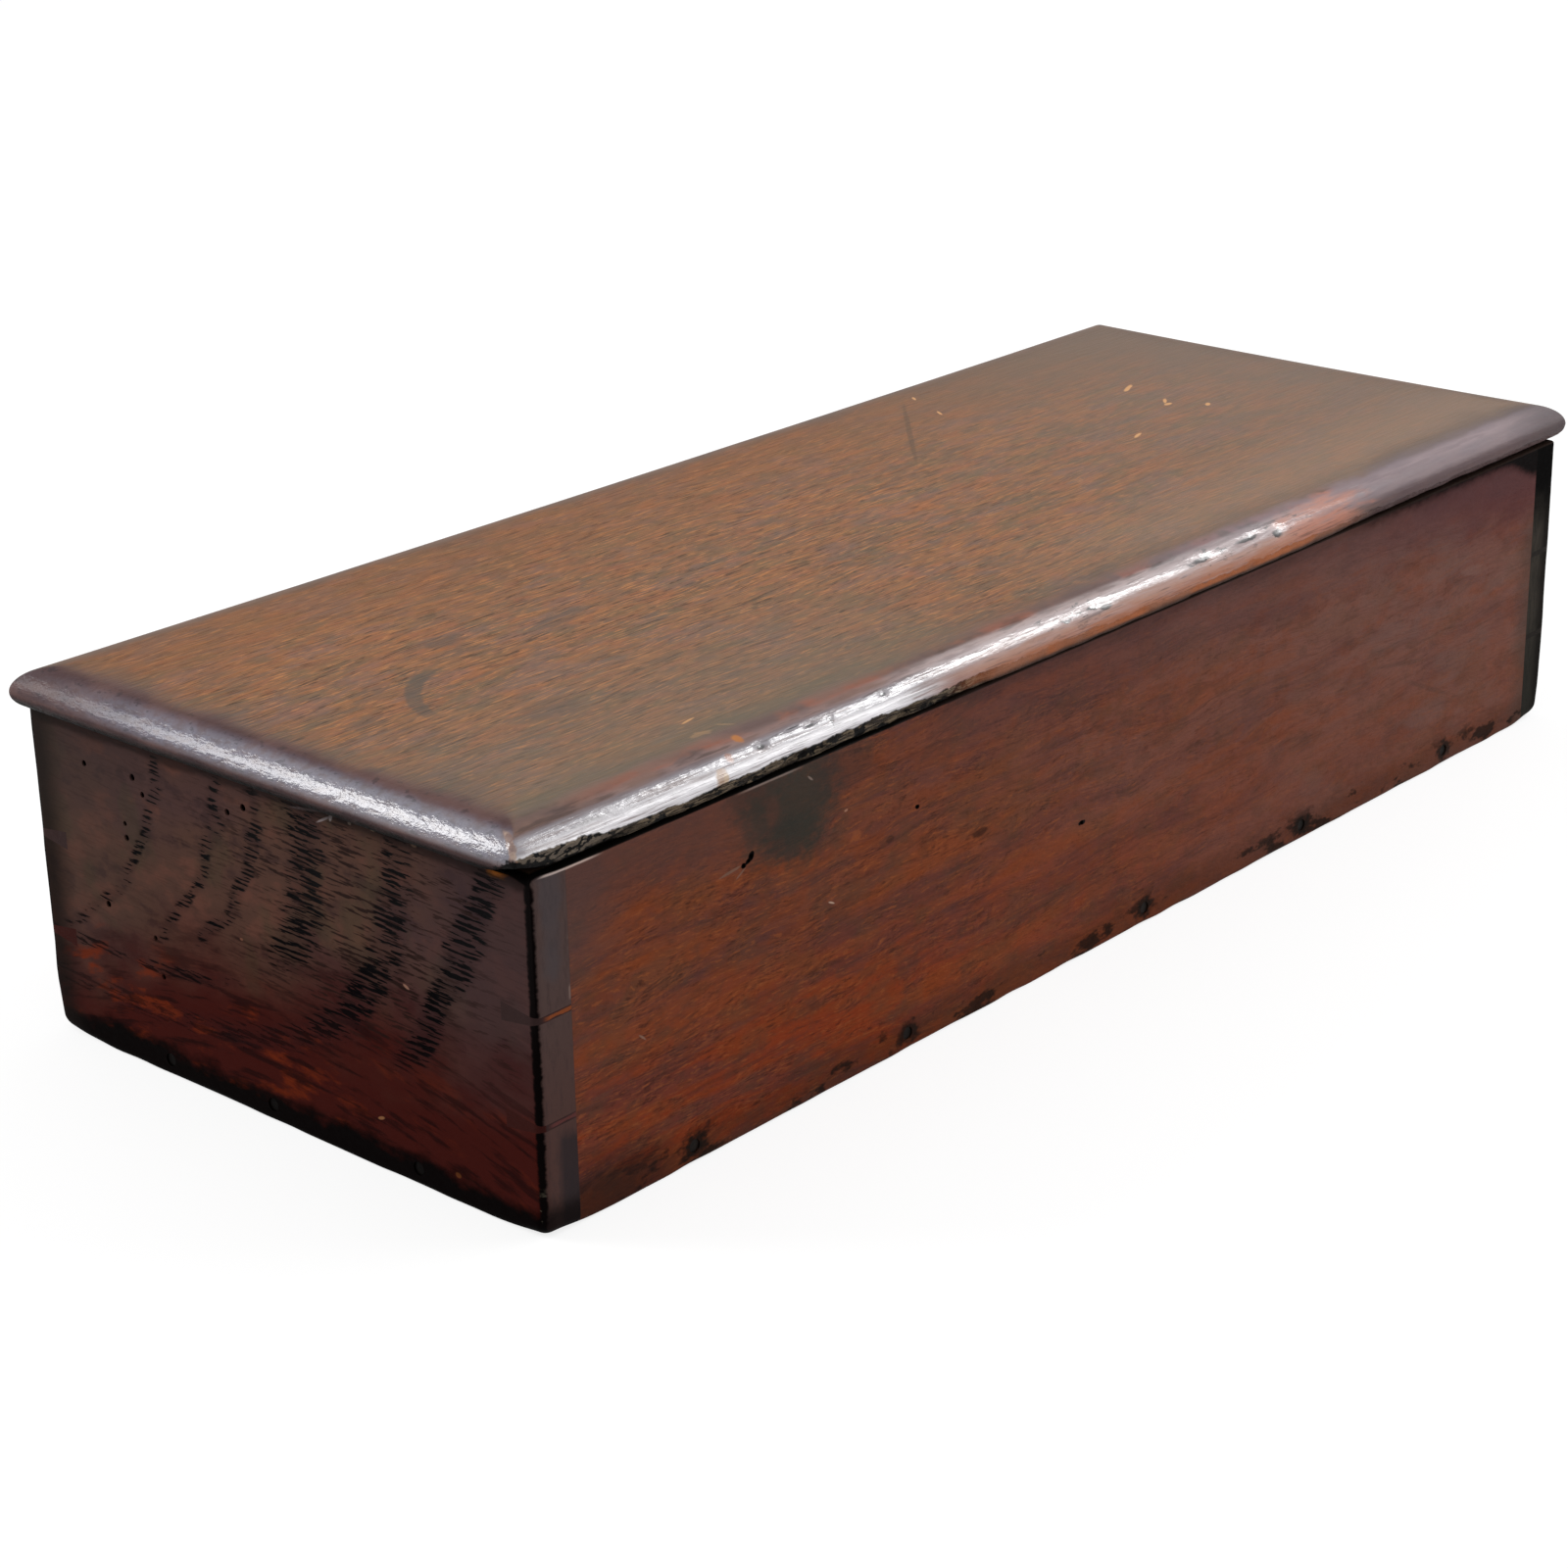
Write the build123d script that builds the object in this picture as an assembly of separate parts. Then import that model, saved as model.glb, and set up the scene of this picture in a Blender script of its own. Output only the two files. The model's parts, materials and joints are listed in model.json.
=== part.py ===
from build123d import *
import os

# A long, low candle box of dovetailed boards, with a moulded lid on two butt hinges.
# Sizes are in millimetres. The origin is the centre of the underside, X runs along the
# length, the front faces -Y, and Z is up.

# The body
body_length = 377.0
body_width = 152.6
body_height = 76.2
wall_thickness = 9.5
bottom_thickness = 8.0
upright_arris_radius = 1.8
bottom_arris_radius = 1.2
rim_arris_radius = 0.5

# Dovetails: narrow pins on the front and back boards, broad tails on the end boards
pin_count = 2
lowest_pin_height = 24.2
pin_spacing = 22.8
pin_outer_width = 1.4
pin_slope = 1 / 7

# Nails through the walls into the edge of the bottom board
nail_length = 25.0
nail_radius = 0.8
nail_point_length = 2.5
nail_point_radius = 0.2
nail_head_radius = 1.5
nail_head_thickness = 0.8
nail_set_depth = 0.3
long_side_nail_inset = 42.4
end_nail_inset = 36.0
front_nail_shifts = (0.0, -5.5, 8.0, 0.5, -6.5)
back_nail_shifts = (3.0, -4.0, 2.0, 5.0, -2.0)
left_nail_shifts = (0.0, 4.0, -3.0)
right_nail_shifts = (-2.0, 3.0, 1.0)

# The lid, a single board with a thumbnail moulding all round
lid_thickness = 9.3
lid_gap = 0.3
lid_end_overhang = 4.2
lid_side_overhang = 0.6
moulding_run = 9.5
underside_run = 3.3
nose_height = 3.3

# The butt hinges
hinge_length = 38.0
hinge_end_distance = 57.0
leaf_reach = 8.4
leaf_thickness = 1.1
barrel_radius = 2.2
knuckle_count = 5
knuckle_gap = 0.2
hinge_pin_radius = 1.0
open_lid_clearance = 0.3

# The hinge screws
screw_count = 3
screw_spacing = 13.0
screw_length = 7.0
screw_radius = 0.9
screw_point_length = 3.0
screw_point_radius = 0.15
screw_head_radius = 1.8
slot_width = 0.5
slot_depth = 0.45
slot_turn_step = 37.0

# Clearances
snug_fit = 0.03
running_fit = 0.06
barrel_clearance = 0.3

# Places that follow from the sizes above
inside_length = body_length - 2 * wall_thickness
inside_width = body_width - 2 * wall_thickness
back_face = body_width / 2
lid_underside = body_height + lid_gap
hinge_set_out = (lid_side_overhang + open_lid_clearance) / 2
hinge_axis_y = back_face + hinge_set_out
hinge_axis_z = body_height + lid_gap / 2
clear_radius = barrel_radius + barrel_clearance
leaf_flat_edge = hinge_axis_y - clear_radius
leaf_inner_edge = back_face - leaf_reach
screw_line = (leaf_flat_edge + leaf_inner_edge) / 2
from_base = (Align.CENTER, Align.CENTER, Align.MIN)


def block(low, high):
    """A rectangular block between two opposite corners."""
    size = [b - a for a, b in zip(low, high)]
    middle = [(a + b) / 2 for a, b in zip(low, high)]
    return Pos(*middle) * Box(*size)


def body_form():
    """The outside of the whole body, with its eased edges."""
    form = Box(body_length, body_width, body_height, align=from_base)
    form = fillet(form.edges().filter_by(Axis.Z), upright_arris_radius)
    form = fillet(form.faces().sort_by(Axis.Z)[0].edges(), bottom_arris_radius)
    return fillet(form.faces().sort_by(Axis.Z)[-1].edges(), rim_arris_radius)


# Dovetailed walls

def dovetail_pins(side, end):
    """The pins at one corner: side is -1 at the front, end is -1 at the left."""
    outer_half = pin_outer_width / 2
    inner_half = outer_half + wall_thickness * pin_slope
    outer_y = side * body_width / 2
    inner_y = side * inside_width / 2
    pins = []
    for number in range(pin_count):
        height = lowest_pin_height + number * pin_spacing
        corners = [
            (outer_y, height - outer_half),
            (outer_y, height + outer_half),
            (inner_y, height + inner_half),
            (inner_y, height - inner_half),
        ]
        section = Plane.YZ.offset(end * inside_length / 2) * make_face(Polyline(*corners, close=True))
        pins.append(extrude(section, amount=wall_thickness, dir=(end, 0, 0)))
    return pins


def long_wall(side, form):
    """The front or back board, with pins at both ends."""
    inner_y = side * inside_width / 2
    outer_y = side * body_width / 2
    low = (-inside_length / 2, min(inner_y, outer_y), 0)
    high = (inside_length / 2, max(inner_y, outer_y), body_height)
    wall = block(low, high)
    for end in (-1, 1):
        for pin in dovetail_pins(side, end):
            wall += pin
    return wall & form


def end_wall(end, form):
    """The left or right board, whose tails lap the ends of the front and back boards."""
    inner_x = end * inside_length / 2
    outer_x = end * body_length / 2
    low = (min(inner_x, outer_x), -body_width / 2, 0)
    high = (max(inner_x, outer_x), body_width / 2, body_height)
    wall = block(low, high)
    for side in (-1, 1):
        for pin in dovetail_pins(side, end):
            wall -= pin
    return wall & form


def bottom_panel():
    """The bottom board, set between the walls and flush with their lower edges."""
    return Box(inside_length, inside_width, bottom_thickness, align=from_base)


# Nails

def nail(place, inward, fit=0.0):
    """One nail from a point on a wall's face; fit widens it into the hole that it makes."""
    face = Plane(origin=place, z_dir=inward)
    head_start = 0 if fit else nail_set_depth
    head_end = nail_set_depth + nail_head_thickness
    point_start = nail_length - nail_point_length
    head = face.offset(head_start) * Cylinder(
        nail_head_radius + fit, head_end - head_start + fit, align=from_base)
    shank = face.offset(head_end) * Cylinder(
        nail_radius + fit, point_start - head_end, align=from_base)
    point = face.offset(point_start) * Cone(
        nail_radius + fit, nail_point_radius + fit, nail_point_length + fit, align=from_base)
    return head + shank + point


def nail_row(normal, shifts, inset):
    """Places along one wall for a row of hand-driven nails, with the way they go in."""
    across_ends = normal[0] != 0
    half_span = (body_width if across_ends else body_length) / 2 - inset
    step = 2 * half_span / (len(shifts) - 1)
    row = []
    for number, shift in enumerate(shifts):
        along = -half_span + number * step + shift
        if across_ends:
            place = (normal[0] * body_length / 2, along, bottom_thickness / 2)
        else:
            place = (along, normal[1] * body_width / 2, bottom_thickness / 2)
        row.append((place, (-normal[0], -normal[1], 0)))
    return row


# The lid

def moulded_section(half_span):
    """The lid's section from nose to nose, measured up from its underside."""
    low = half_span - underside_run
    top = half_span - moulding_run
    rise = lid_thickness - nose_height
    outline = [
        Line((-low, 0), (low, 0)),
        EllipticalCenterArc((low, nose_height), underside_run, nose_height, 270),
        EllipticalCenterArc((top, nose_height), moulding_run, rise, 0),
        Line((top, lid_thickness), (-top, lid_thickness)),
        EllipticalCenterArc((-top, nose_height), moulding_run, rise, 90),
        EllipticalCenterArc((-low, nose_height), underside_run, nose_height, 180),
    ]
    return make_face(outline)


def lid_panel():
    """The lid board: two moulded sections crossed, so that the mouldings meet in mitres."""
    half_length = body_length / 2 + lid_end_overhang
    half_width = body_width / 2 + lid_side_overhang
    lengthwise = extrude(Plane.XZ * moulded_section(half_length), amount=half_width, both=True)
    crosswise = extrude(Plane.YZ * moulded_section(half_width), amount=half_length, both=True)
    return Pos(0, 0, lid_underside) * (lengthwise & crosswise)


# Hinges

def rod(radius, low_x, high_x):
    """A round bar along the hinge line."""
    start = Plane(origin=(low_x, hinge_axis_y, hinge_axis_z), z_dir=(1, 0, 0))
    return start * Cylinder(radius, high_x - low_x, align=from_base)


def knuckle_spans(centre, first):
    """Start and end of every second knuckle, from the first one on, without its gaps."""
    pitch = hinge_length / knuckle_count
    left = centre - hinge_length / 2
    return [(left + k * pitch, left + (k + 1) * pitch) for k in range(first, knuckle_count, 2)]


def leaf_plate(centre, on_lid):
    """The flat of one leaf, let in flush with the wood that it is screwed to."""
    low_z = lid_underside if on_lid else body_height - leaf_thickness
    low = (centre - hinge_length / 2, leaf_inner_edge, low_z)
    high = (centre + hinge_length / 2, hinge_axis_y, low_z + leaf_thickness)
    return block(low, high)


def hinge_leaf(centre, on_lid):
    """One leaf with its knuckles: the body leaf has the first and last of them."""
    own = knuckle_spans(centre, 1 if on_lid else 0)
    other = knuckle_spans(centre, 0 if on_lid else 1)
    leaf = leaf_plate(centre, on_lid)
    for low_x, high_x in other:
        leaf -= rod(clear_radius, low_x - knuckle_gap / 2, high_x + knuckle_gap / 2)
    for low_x, high_x in own:
        leaf += rod(barrel_radius, low_x + knuckle_gap / 2, high_x - knuckle_gap / 2)
    bore_fit = running_fit if on_lid else snug_fit
    leaf -= rod(hinge_pin_radius + bore_fit, centre - hinge_length, centre + hinge_length)
    for place, inward in screw_row(centre, on_lid):
        leaf -= screw(place, inward, fit=snug_fit)
    return leaf


def hinge_pin(centre):
    """The pin, as long as the barrel."""
    half = hinge_length / 2 - knuckle_gap / 2
    return rod(hinge_pin_radius, centre - half, centre + half)


def hinge_room(centre, on_lid):
    """The wood that is cut away for one leaf and for the barrel beside it."""
    half = hinge_length / 2 + barrel_clearance
    return leaf_plate(centre, on_lid) + rod(clear_radius, centre - half, centre + half)


# Screws

def screw(place, inward, fit=0.0):
    """One countersunk screw without its slot; fit widens it into the hole for it."""
    face = Plane(origin=place, z_dir=inward)
    point_start = screw_length - screw_point_length
    head = face * Cone(
        screw_head_radius + fit, screw_radius + fit, leaf_thickness, align=from_base)
    shank = face.offset(leaf_thickness) * Cylinder(
        screw_radius + fit, point_start - leaf_thickness, align=from_base)
    point = face.offset(point_start) * Cone(
        screw_radius + fit, screw_point_radius + fit, screw_point_length + fit, align=from_base)
    return head + shank + point


def screw_row(centre, on_lid):
    """Places of one leaf's screws, with the way they go in."""
    face_z = lid_underside if on_lid else body_height
    inward = (0, 0, 1 if on_lid else -1)
    first = centre - screw_spacing * (screw_count - 1) / 2
    return [((first + k * screw_spacing, screw_line, face_z), inward) for k in range(screw_count)]


def slotted_screws(centre, on_lid):
    """The screws of one leaf, each with its slot turned its own way."""
    screws = []
    for number, (place, inward) in enumerate(screw_row(centre, on_lid)):
        face = Plane(origin=place, z_dir=inward).rotated((0, 0, slot_turn_step * (number + 1)))
        slot = face * Box(3 * screw_head_radius, slot_width, slot_depth, align=from_base)
        screws.append(screw(place, inward) - slot)
    return screws


# Assembly

form = body_form()
pieces = {
    "front_board": long_wall(-1, form),
    "back_board": long_wall(1, form),
    "left_end_board": end_wall(-1, form),
    "right_end_board": end_wall(1, form),
    "bottom_board": bottom_panel(),
    "lid_board": lid_panel(),
}

nail_rows = {
    "front": (nail_row((0, -1), front_nail_shifts, long_side_nail_inset), "front_board"),
    "back": (nail_row((0, 1), back_nail_shifts, long_side_nail_inset), "back_board"),
    "left_end": (nail_row((-1, 0), left_nail_shifts, end_nail_inset), "left_end_board"),
    "right_end": (nail_row((1, 0), right_nail_shifts, end_nail_inset), "right_end_board"),
}
for side, (row, wall) in nail_rows.items():
    for place, inward in row:
        hole = nail(place, inward, fit=snug_fit)
        pieces[wall] -= hole
        pieces["bottom_board"] -= hole
    pieces[side + "_nails"] = Compound([nail(place, inward) for place, inward in row])

hinge_centres = {
    "left": -body_length / 2 + hinge_end_distance,
    "right": body_length / 2 - hinge_end_distance,
}
for side, centre in hinge_centres.items():
    for on_lid, holder, wood in ((False, "body", "back_board"), (True, "lid", "lid_board")):
        pieces[wood] -= hinge_room(centre, on_lid)
        for place, inward in screw_row(centre, on_lid):
            pieces[wood] -= screw(place, inward, fit=snug_fit)
        pieces[side + "_hinge_" + holder + "_leaf"] = hinge_leaf(centre, on_lid)
        pieces[side + "_hinge_" + holder + "_screws"] = Compound(slotted_screws(centre, on_lid))
    pieces[side + "_hinge_pin"] = hinge_pin(centre)

os.makedirs("parts", exist_ok=True)
for name, piece in pieces.items():
    export_step(piece, "parts/" + name + ".step")
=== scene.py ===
import itertools
import json
import math

import bmesh
import bpy
import numpy as np
from mathutils import Matrix, Vector


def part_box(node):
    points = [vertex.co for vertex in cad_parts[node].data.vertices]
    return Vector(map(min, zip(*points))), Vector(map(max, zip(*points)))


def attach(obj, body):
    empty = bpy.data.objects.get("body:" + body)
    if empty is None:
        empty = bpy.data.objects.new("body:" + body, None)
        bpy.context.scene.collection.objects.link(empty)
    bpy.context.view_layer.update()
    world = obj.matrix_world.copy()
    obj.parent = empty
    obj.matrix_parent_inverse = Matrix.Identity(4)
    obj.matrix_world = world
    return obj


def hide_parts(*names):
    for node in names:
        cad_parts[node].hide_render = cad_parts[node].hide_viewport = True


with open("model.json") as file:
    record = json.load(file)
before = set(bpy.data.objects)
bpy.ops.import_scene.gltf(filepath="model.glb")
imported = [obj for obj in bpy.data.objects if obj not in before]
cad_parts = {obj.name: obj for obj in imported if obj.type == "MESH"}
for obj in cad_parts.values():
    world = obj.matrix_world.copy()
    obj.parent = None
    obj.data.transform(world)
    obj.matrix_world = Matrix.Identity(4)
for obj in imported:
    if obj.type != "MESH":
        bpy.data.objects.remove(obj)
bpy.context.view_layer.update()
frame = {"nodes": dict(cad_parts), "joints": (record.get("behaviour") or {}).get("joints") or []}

# A worn candle box in dark varnish. Sizes are in millimetres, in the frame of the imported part:
# X along the length, the front towards -Y, Z up from the underside.

mm = 0.001

# Sizes read from the frame

lid_low, lid_high = (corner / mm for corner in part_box("lid_board"))
end_low, end_high = (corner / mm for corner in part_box("left_end_board"))
front_low, front_high = (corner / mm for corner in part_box("front_board"))
hinge_line = Vector(frame["joints"][0]["pos_m"]) / mm
half_length = -end_low.x
half_width = -front_low.y
height = front_high.z
inside_half_length = -end_high.x
wall = half_length - inside_half_length
inside_half_width = half_width - wall
lid_half_length = lid_high.x
lid_half_width = lid_high.y

# Sizes that the frame's boxes don't give

pin_heights = (24.2, 47.0)
pin_outer_half = 0.7
pin_slope = 1 / 7
moulding_run = 9.5
underside_run = 3.3
nose_height = 3.3
leaf_thickness = 1.1
sharp_angle = 35
barrel_clearance = 0.3
leaf_clearance = 0.05
nail_height = 4.0
nail_head_radius = 1.53
nail_recess = 1.1
beetle_hole_radius = 0.72
beetle_hole_depth = 5.5

# The camera, as it stood for the photograph

camera_azimuth = -48.11
camera_elevation = 21.59
camera_roll = -1.11
camera_place = (-593.5, -503.7, 327.0)
camera_lens = 78.82
camera_sensor = 36.0


# Meshes

def rumple(points, cell, seed):
    """Smooth noise from -1 to 1 at each point, with cells of the given size along each axis."""
    table = np.random.default_rng(seed).uniform(-1, 1, (64, 64, 64))
    place = points / np.asarray(cell, float)
    base = np.floor(place).astype(int)
    part = place - base
    part = part * part * (3 - 2 * part)
    total = np.zeros(len(points))
    for corner in itertools.product((0, 1), repeat=3):
        i, j, k = ((base + corner) % 64).T
        weight = np.prod(np.where(corner, part, 1 - part), axis=1)
        total += weight * table[i, j, k]
    return total


def graded(*stops):
    """Lattice lines from stop to stop; each stop is a place and the step that follows it."""
    lines = []
    for (place, step), (following, _) in zip(stops, stops[1:]):
        count = max(1, round((following - place) / step))
        lines.extend(np.linspace(place, following, count, endpoint=False))
    return np.array(lines + [stops[-1][0]])


def mesh_piece(name, points, faces, finish):
    """An object from points in millimetres."""
    mesh = bpy.data.meshes.new(name)
    mesh.from_pydata((points * mm).tolist(), [], faces.tolist())
    mesh.materials.append(finish)
    piece = bpy.data.objects.new(name, mesh)
    bpy.context.scene.collection.objects.link(piece)
    return piece


def lattice_solid(lines, filled, bend):
    """Points and faces of the skin round a lattice's filled cells, the points moved by bend."""
    middles = [(line[1:] + line[:-1]) / 2 for line in lines]
    cells = np.pad(filled(*np.meshgrid(*middles, indexing="ij")), 1).astype(int)
    counts = [len(line) for line in lines]
    number = np.arange(math.prod(counts)).reshape(counts)
    faces = []
    for axis in range(3):
        corner = np.moveaxis(number, axis, 0)
        change = np.diff(np.moveaxis(cells, axis, 0), axis=0)[:, 1:-1, 1:-1]
        i, j, k = np.nonzero(change)
        ring = np.stack([corner[i, j, k], corner[i, j + 1, k],
                         corner[i, j + 1, k + 1], corner[i, j, k + 1]], axis=1)
        upward = (change[i, j, k] == -1) != (axis == 1)
        faces.append(np.where(upward[:, None], ring, ring[:, ::-1]))
    faces = np.concatenate(faces)
    used, faces = np.unique(faces, return_inverse=True)
    points = np.stack(np.meshgrid(*lines, indexing="ij"), axis=-1).reshape(-1, 3)[used]
    return bend(points), faces.reshape(-1, 4)


def cutter(rods=(), blocks=()):
    """One object of round bars (start, end, start radius, end radius) and blocks (low, high)."""
    shapes = bmesh.new()
    for start, end, start_radius, end_radius in rods:
        start, end = Vector(start), Vector(end)
        turn = (end - start).to_track_quat("Z", "Y").to_matrix().to_4x4()
        bmesh.ops.create_cone(
            shapes, cap_ends=True, segments=14, radius1=start_radius, radius2=end_radius,
            depth=(end - start).length, matrix=Matrix.Translation((start + end) / 2) @ turn)
    for low, high in blocks:
        low, high = Vector(low), Vector(high)
        size = Matrix.Diagonal((high - low)).to_4x4()
        bmesh.ops.create_cube(shapes, size=1, matrix=Matrix.Translation((low + high) / 2) @ size)
    shapes.transform(Matrix.Scale(mm, 4))
    mesh = bpy.data.meshes.new("cutter")
    shapes.to_mesh(mesh)
    shapes.free()
    tool = bpy.data.objects.new("cutter", mesh)
    bpy.context.scene.collection.objects.link(tool)
    return tool


def cut(piece, *cutters):
    """Cuts the cutters out of a piece, removes them, and shades the piece smooth."""
    for tool in cutters:
        change = piece.modifiers.new("cut", "BOOLEAN")
        change.operation = "DIFFERENCE"
        change.solver = "EXACT"
        change.object = tool
    graph = bpy.context.evaluated_depsgraph_get()
    mesh = bpy.data.meshes.new_from_object(piece.evaluated_get(graph), depsgraph=graph)
    piece.modifiers.clear()
    piece.data = mesh
    for tool in cutters:
        bpy.data.objects.remove(tool)
    mesh.shade_smooth()
    mesh.set_sharp_from_angle(angle=math.radians(sharp_angle))


def places_along(node, axis):
    """The centres of the separate solids of one CAD node, along one axis."""
    values = np.sort([vertex.co[axis] / mm for vertex in frame["nodes"][node].data.vertices])
    rows = np.split(values, np.nonzero(np.diff(values) > 5)[0] + 1)
    return [(row[0] + row[-1]) / 2 for row in rows]


# The body's walls

def worn(points):
    """Points of the body, with those at its outer edges moved in onto worn, rounded ones."""
    x, y, z = points.T.copy()
    from_end = half_length - np.abs(x)
    from_side = half_width - np.abs(y)
    uneven = rumple(points, (7, 7, 7), 11)
    to_foot_corner = np.sqrt(from_end ** 2 + from_side ** 2 + z ** 2)
    near_rim = np.sqrt((x + half_length) ** 2 + (y + half_width) ** 2 + (height - z) ** 2)
    # radii of the upright edges, the foot and the rim, larger where a corner is knocked
    upright = 1.7 + 0.3 * uneven + 1.6 * np.exp(-(z / 8) ** 2)
    foot = 1.3 + 0.35 * uneven + 2.6 * np.exp(-(to_foot_corner / 9) ** 2)
    rim = 0.6 + 0.15 * uneven + 2.4 * np.exp(-(near_rim / 5) ** 2)
    short_end = np.clip(upright - from_end, 0, None)
    short_side = np.clip(upright - from_side, 0, None)
    reach = np.hypot(short_end, short_side) + 1e-9
    keep = np.minimum(1, upright / reach)
    cornered = (short_end > 0) & (short_side > 0)
    out_x = np.where(cornered, short_end / reach, from_end < from_side) * np.sign(x)
    out_y = np.where(cornered, short_side / reach, from_end >= from_side) * np.sign(y)
    x -= np.where(cornered, short_end * (1 - keep), 0) * np.sign(x)
    y -= np.where(cornered, short_side * (1 - keep), 0) * np.sign(y)
    inward = np.where(cornered, upright - reach * keep, np.minimum(from_end, from_side))
    for radius, rise, up in ((foot, z.copy(), 1), (rim, height - z, -1)):
        aside = np.clip(radius - inward, 0, None)
        below = np.clip(radius - rise, 0, None)
        spare = 1 - np.minimum(1, radius / (np.hypot(aside, below) + 1e-9))
        x -= aside * spare * out_x
        y -= aside * spare * out_y
        z += below * spare * up
    return np.stack([x, y, z], axis=1)


def flared(points):
    """Points with the sides of the dovetail pins sloped, wider towards the inside of the box."""
    x, y, z = points.T.copy()
    depth = np.clip(half_width - np.abs(y), 0, wall)
    for middle in pin_heights:
        beside = np.abs(np.abs(z - middle) - pin_outer_half) < 0.01
        z += np.where(beside, np.sign(z - middle) * depth * pin_slope, 0)
    return worn(np.stack([x, y, z], axis=1))


def wall_lines():
    """The lattice that all four walls share, close at the edges that are worn."""
    def spread(half, inner, step):
        return graded((-half, 0.5), (-half + 5.5, 0.8), (-inner, step), (inner, 0.8),
                      (half - 5.5, 0.5), (half, 0))
    pin_stops = []
    for middle in pin_heights:
        pin_stops += [(middle - 3.5, 2.8), (middle - pin_outer_half, 1.4),
                      (middle + pin_outer_half, 2.8), (middle + 3.5, 5.0)]
    upward = graded((0, 0.5), (6, 3.0), *pin_stops, (height - 4.5, 0.45), (height, 0))
    return (spread(half_length, inside_half_length, 2.0),
            spread(half_width, inside_half_width, 2.0), upward)


def pin_cells(x, y, z):
    """The cells of the pins, at all four corners."""
    at_pin = np.zeros(z.shape, bool)
    for middle in pin_heights:
        at_pin |= np.abs(z - middle) < pin_outer_half
    return at_pin & (np.abs(x) > inside_half_length) & (np.abs(y) > inside_half_width)


def long_wall(name, side, finish):
    """The front (-1) or back (1) board, with its pins."""
    def filled(x, y, z):
        board = (np.abs(x) < inside_half_length) & (y * side > inside_half_width)
        return board | (pin_cells(x, y, z) & (y * side > 0))
    return mesh_piece(name, *lattice_solid(wall_lines(), filled, flared), finish)


def end_wall(name, end, finish):
    """The left (-1) or right (1) board, with its tails."""
    def filled(x, y, z):
        return (x * end > inside_half_length) & ~pin_cells(x, y, z)
    return mesh_piece(name, *lattice_solid(wall_lines(), filled, flared), finish)


def nail_recesses(node, normal):
    """Bars for the sunk places of one wall's nail heads."""
    axis = 0 if normal[0] == 0 else 1
    outward = Vector((normal[0], normal[1], 0))
    face = half_length if axis == 1 else half_width
    rods = []
    for along in places_along(node, axis):
        place = Vector((0, 0, nail_height)) + outward * face
        place[axis] = along
        rods.append((place - outward * nail_recess, place + outward,
                     nail_head_radius, nail_head_radius))
    return rods


def hinge_rooms(high_z, low_z):
    """Cutters for the leaves, let in between two heights, and for the barrels."""
    blocks = []
    rods = []
    for side in ("left", "right"):
        low, high = (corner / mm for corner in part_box(side + "_hinge_body_leaf"))
        radius = high.y - hinge_line.y + barrel_clearance
        blocks.append(((low.x - leaf_clearance, low.y - leaf_clearance, low_z),
                       (high.x + leaf_clearance, hinge_line.y, high_z)))
        rods.append(((low.x - barrel_clearance, hinge_line.y, hinge_line.z),
                     (high.x + barrel_clearance, hinge_line.y, hinge_line.z), radius, radius))
    return cutter(blocks=blocks), cutter(rods=rods)


# The lid

def lid_section():
    """The moulding's section as (inset, height) pairs, from the underside to the flat top."""
    rise = lid_high.z - lid_low.z - nose_height
    under = [math.radians(a) for a in np.linspace(-90, 0, 10)]
    over = [math.radians(a) for a in np.linspace(0, 90, 25)[1:]]
    section = [(underside_run * (1 - math.cos(a)), nose_height * (1 + math.sin(a))) for a in under]
    section += [(moulding_run * (1 - math.cos(a)), nose_height + rise * math.sin(a)) for a in over]
    return section


def lid_points_and_faces():
    """The lid as rings round the moulding, closed by a grid above and one below."""
    # the lines are closest at the borders, and closer at the left, which is seen from nearby
    xs = graded((-lid_half_length, 0.6), (-182, 0.9), (-60, 1.5), (182, 0.8), (lid_half_length, 0))
    ys = graded((-lid_half_width, 0.6), (-67, 2.4), (67, 0.8), (lid_half_width, 0))
    nx, ny = len(xs), len(ys)
    border = [(i, 0) for i in range(nx)] + [(nx - 1, j) for j in range(1, ny)]
    border += [(i, ny - 1) for i in range(nx - 2, -1, -1)] + [(0, j) for j in range(ny - 2, 0, -1)]
    border = np.array(border)
    section = lid_section()
    points = []
    faces = []

    def inset_places(i, j, inset, rise):
        x = xs[i] * (lid_half_length - inset) / lid_half_length
        y = ys[j] * (lid_half_width - inset) / lid_half_width
        return np.stack([x, y, np.full(len(x), lid_low.z + rise)], axis=1)

    for inset, rise in section:
        points.append(inset_places(border[:, 0], border[:, 1], inset, rise))
    around = len(border)
    here = np.arange(around)
    after = (here + 1) % around
    for level in range(len(section) - 1):
        low = level * around
        high = low + around
        faces.append(np.stack([low + here, low + after, high + after, high + here], axis=1))
    count = around * len(section)
    inner = np.stack(np.meshgrid(np.arange(1, nx - 1), np.arange(1, ny - 1), indexing="ij"), -1)
    i, j = inner.reshape(-1, 2).T
    for level, turned in ((0, True), (len(section) - 1, False)):
        points.append(inset_places(i, j, *section[level]))
        grid = np.zeros((nx, ny), int)
        grid[border[:, 0], border[:, 1]] = level * around + here
        grid[i, j] = count + np.arange(len(i))
        count += len(i)
        quads = np.stack([grid[:-1, :-1], grid[1:, :-1], grid[1:, 1:], grid[:-1, 1:]], axis=-1)
        quads = quads.reshape(-1, 4)
        faces.append(quads[:, ::-1] if turned else quads)
    return np.concatenate(points), np.concatenate(faces)


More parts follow.
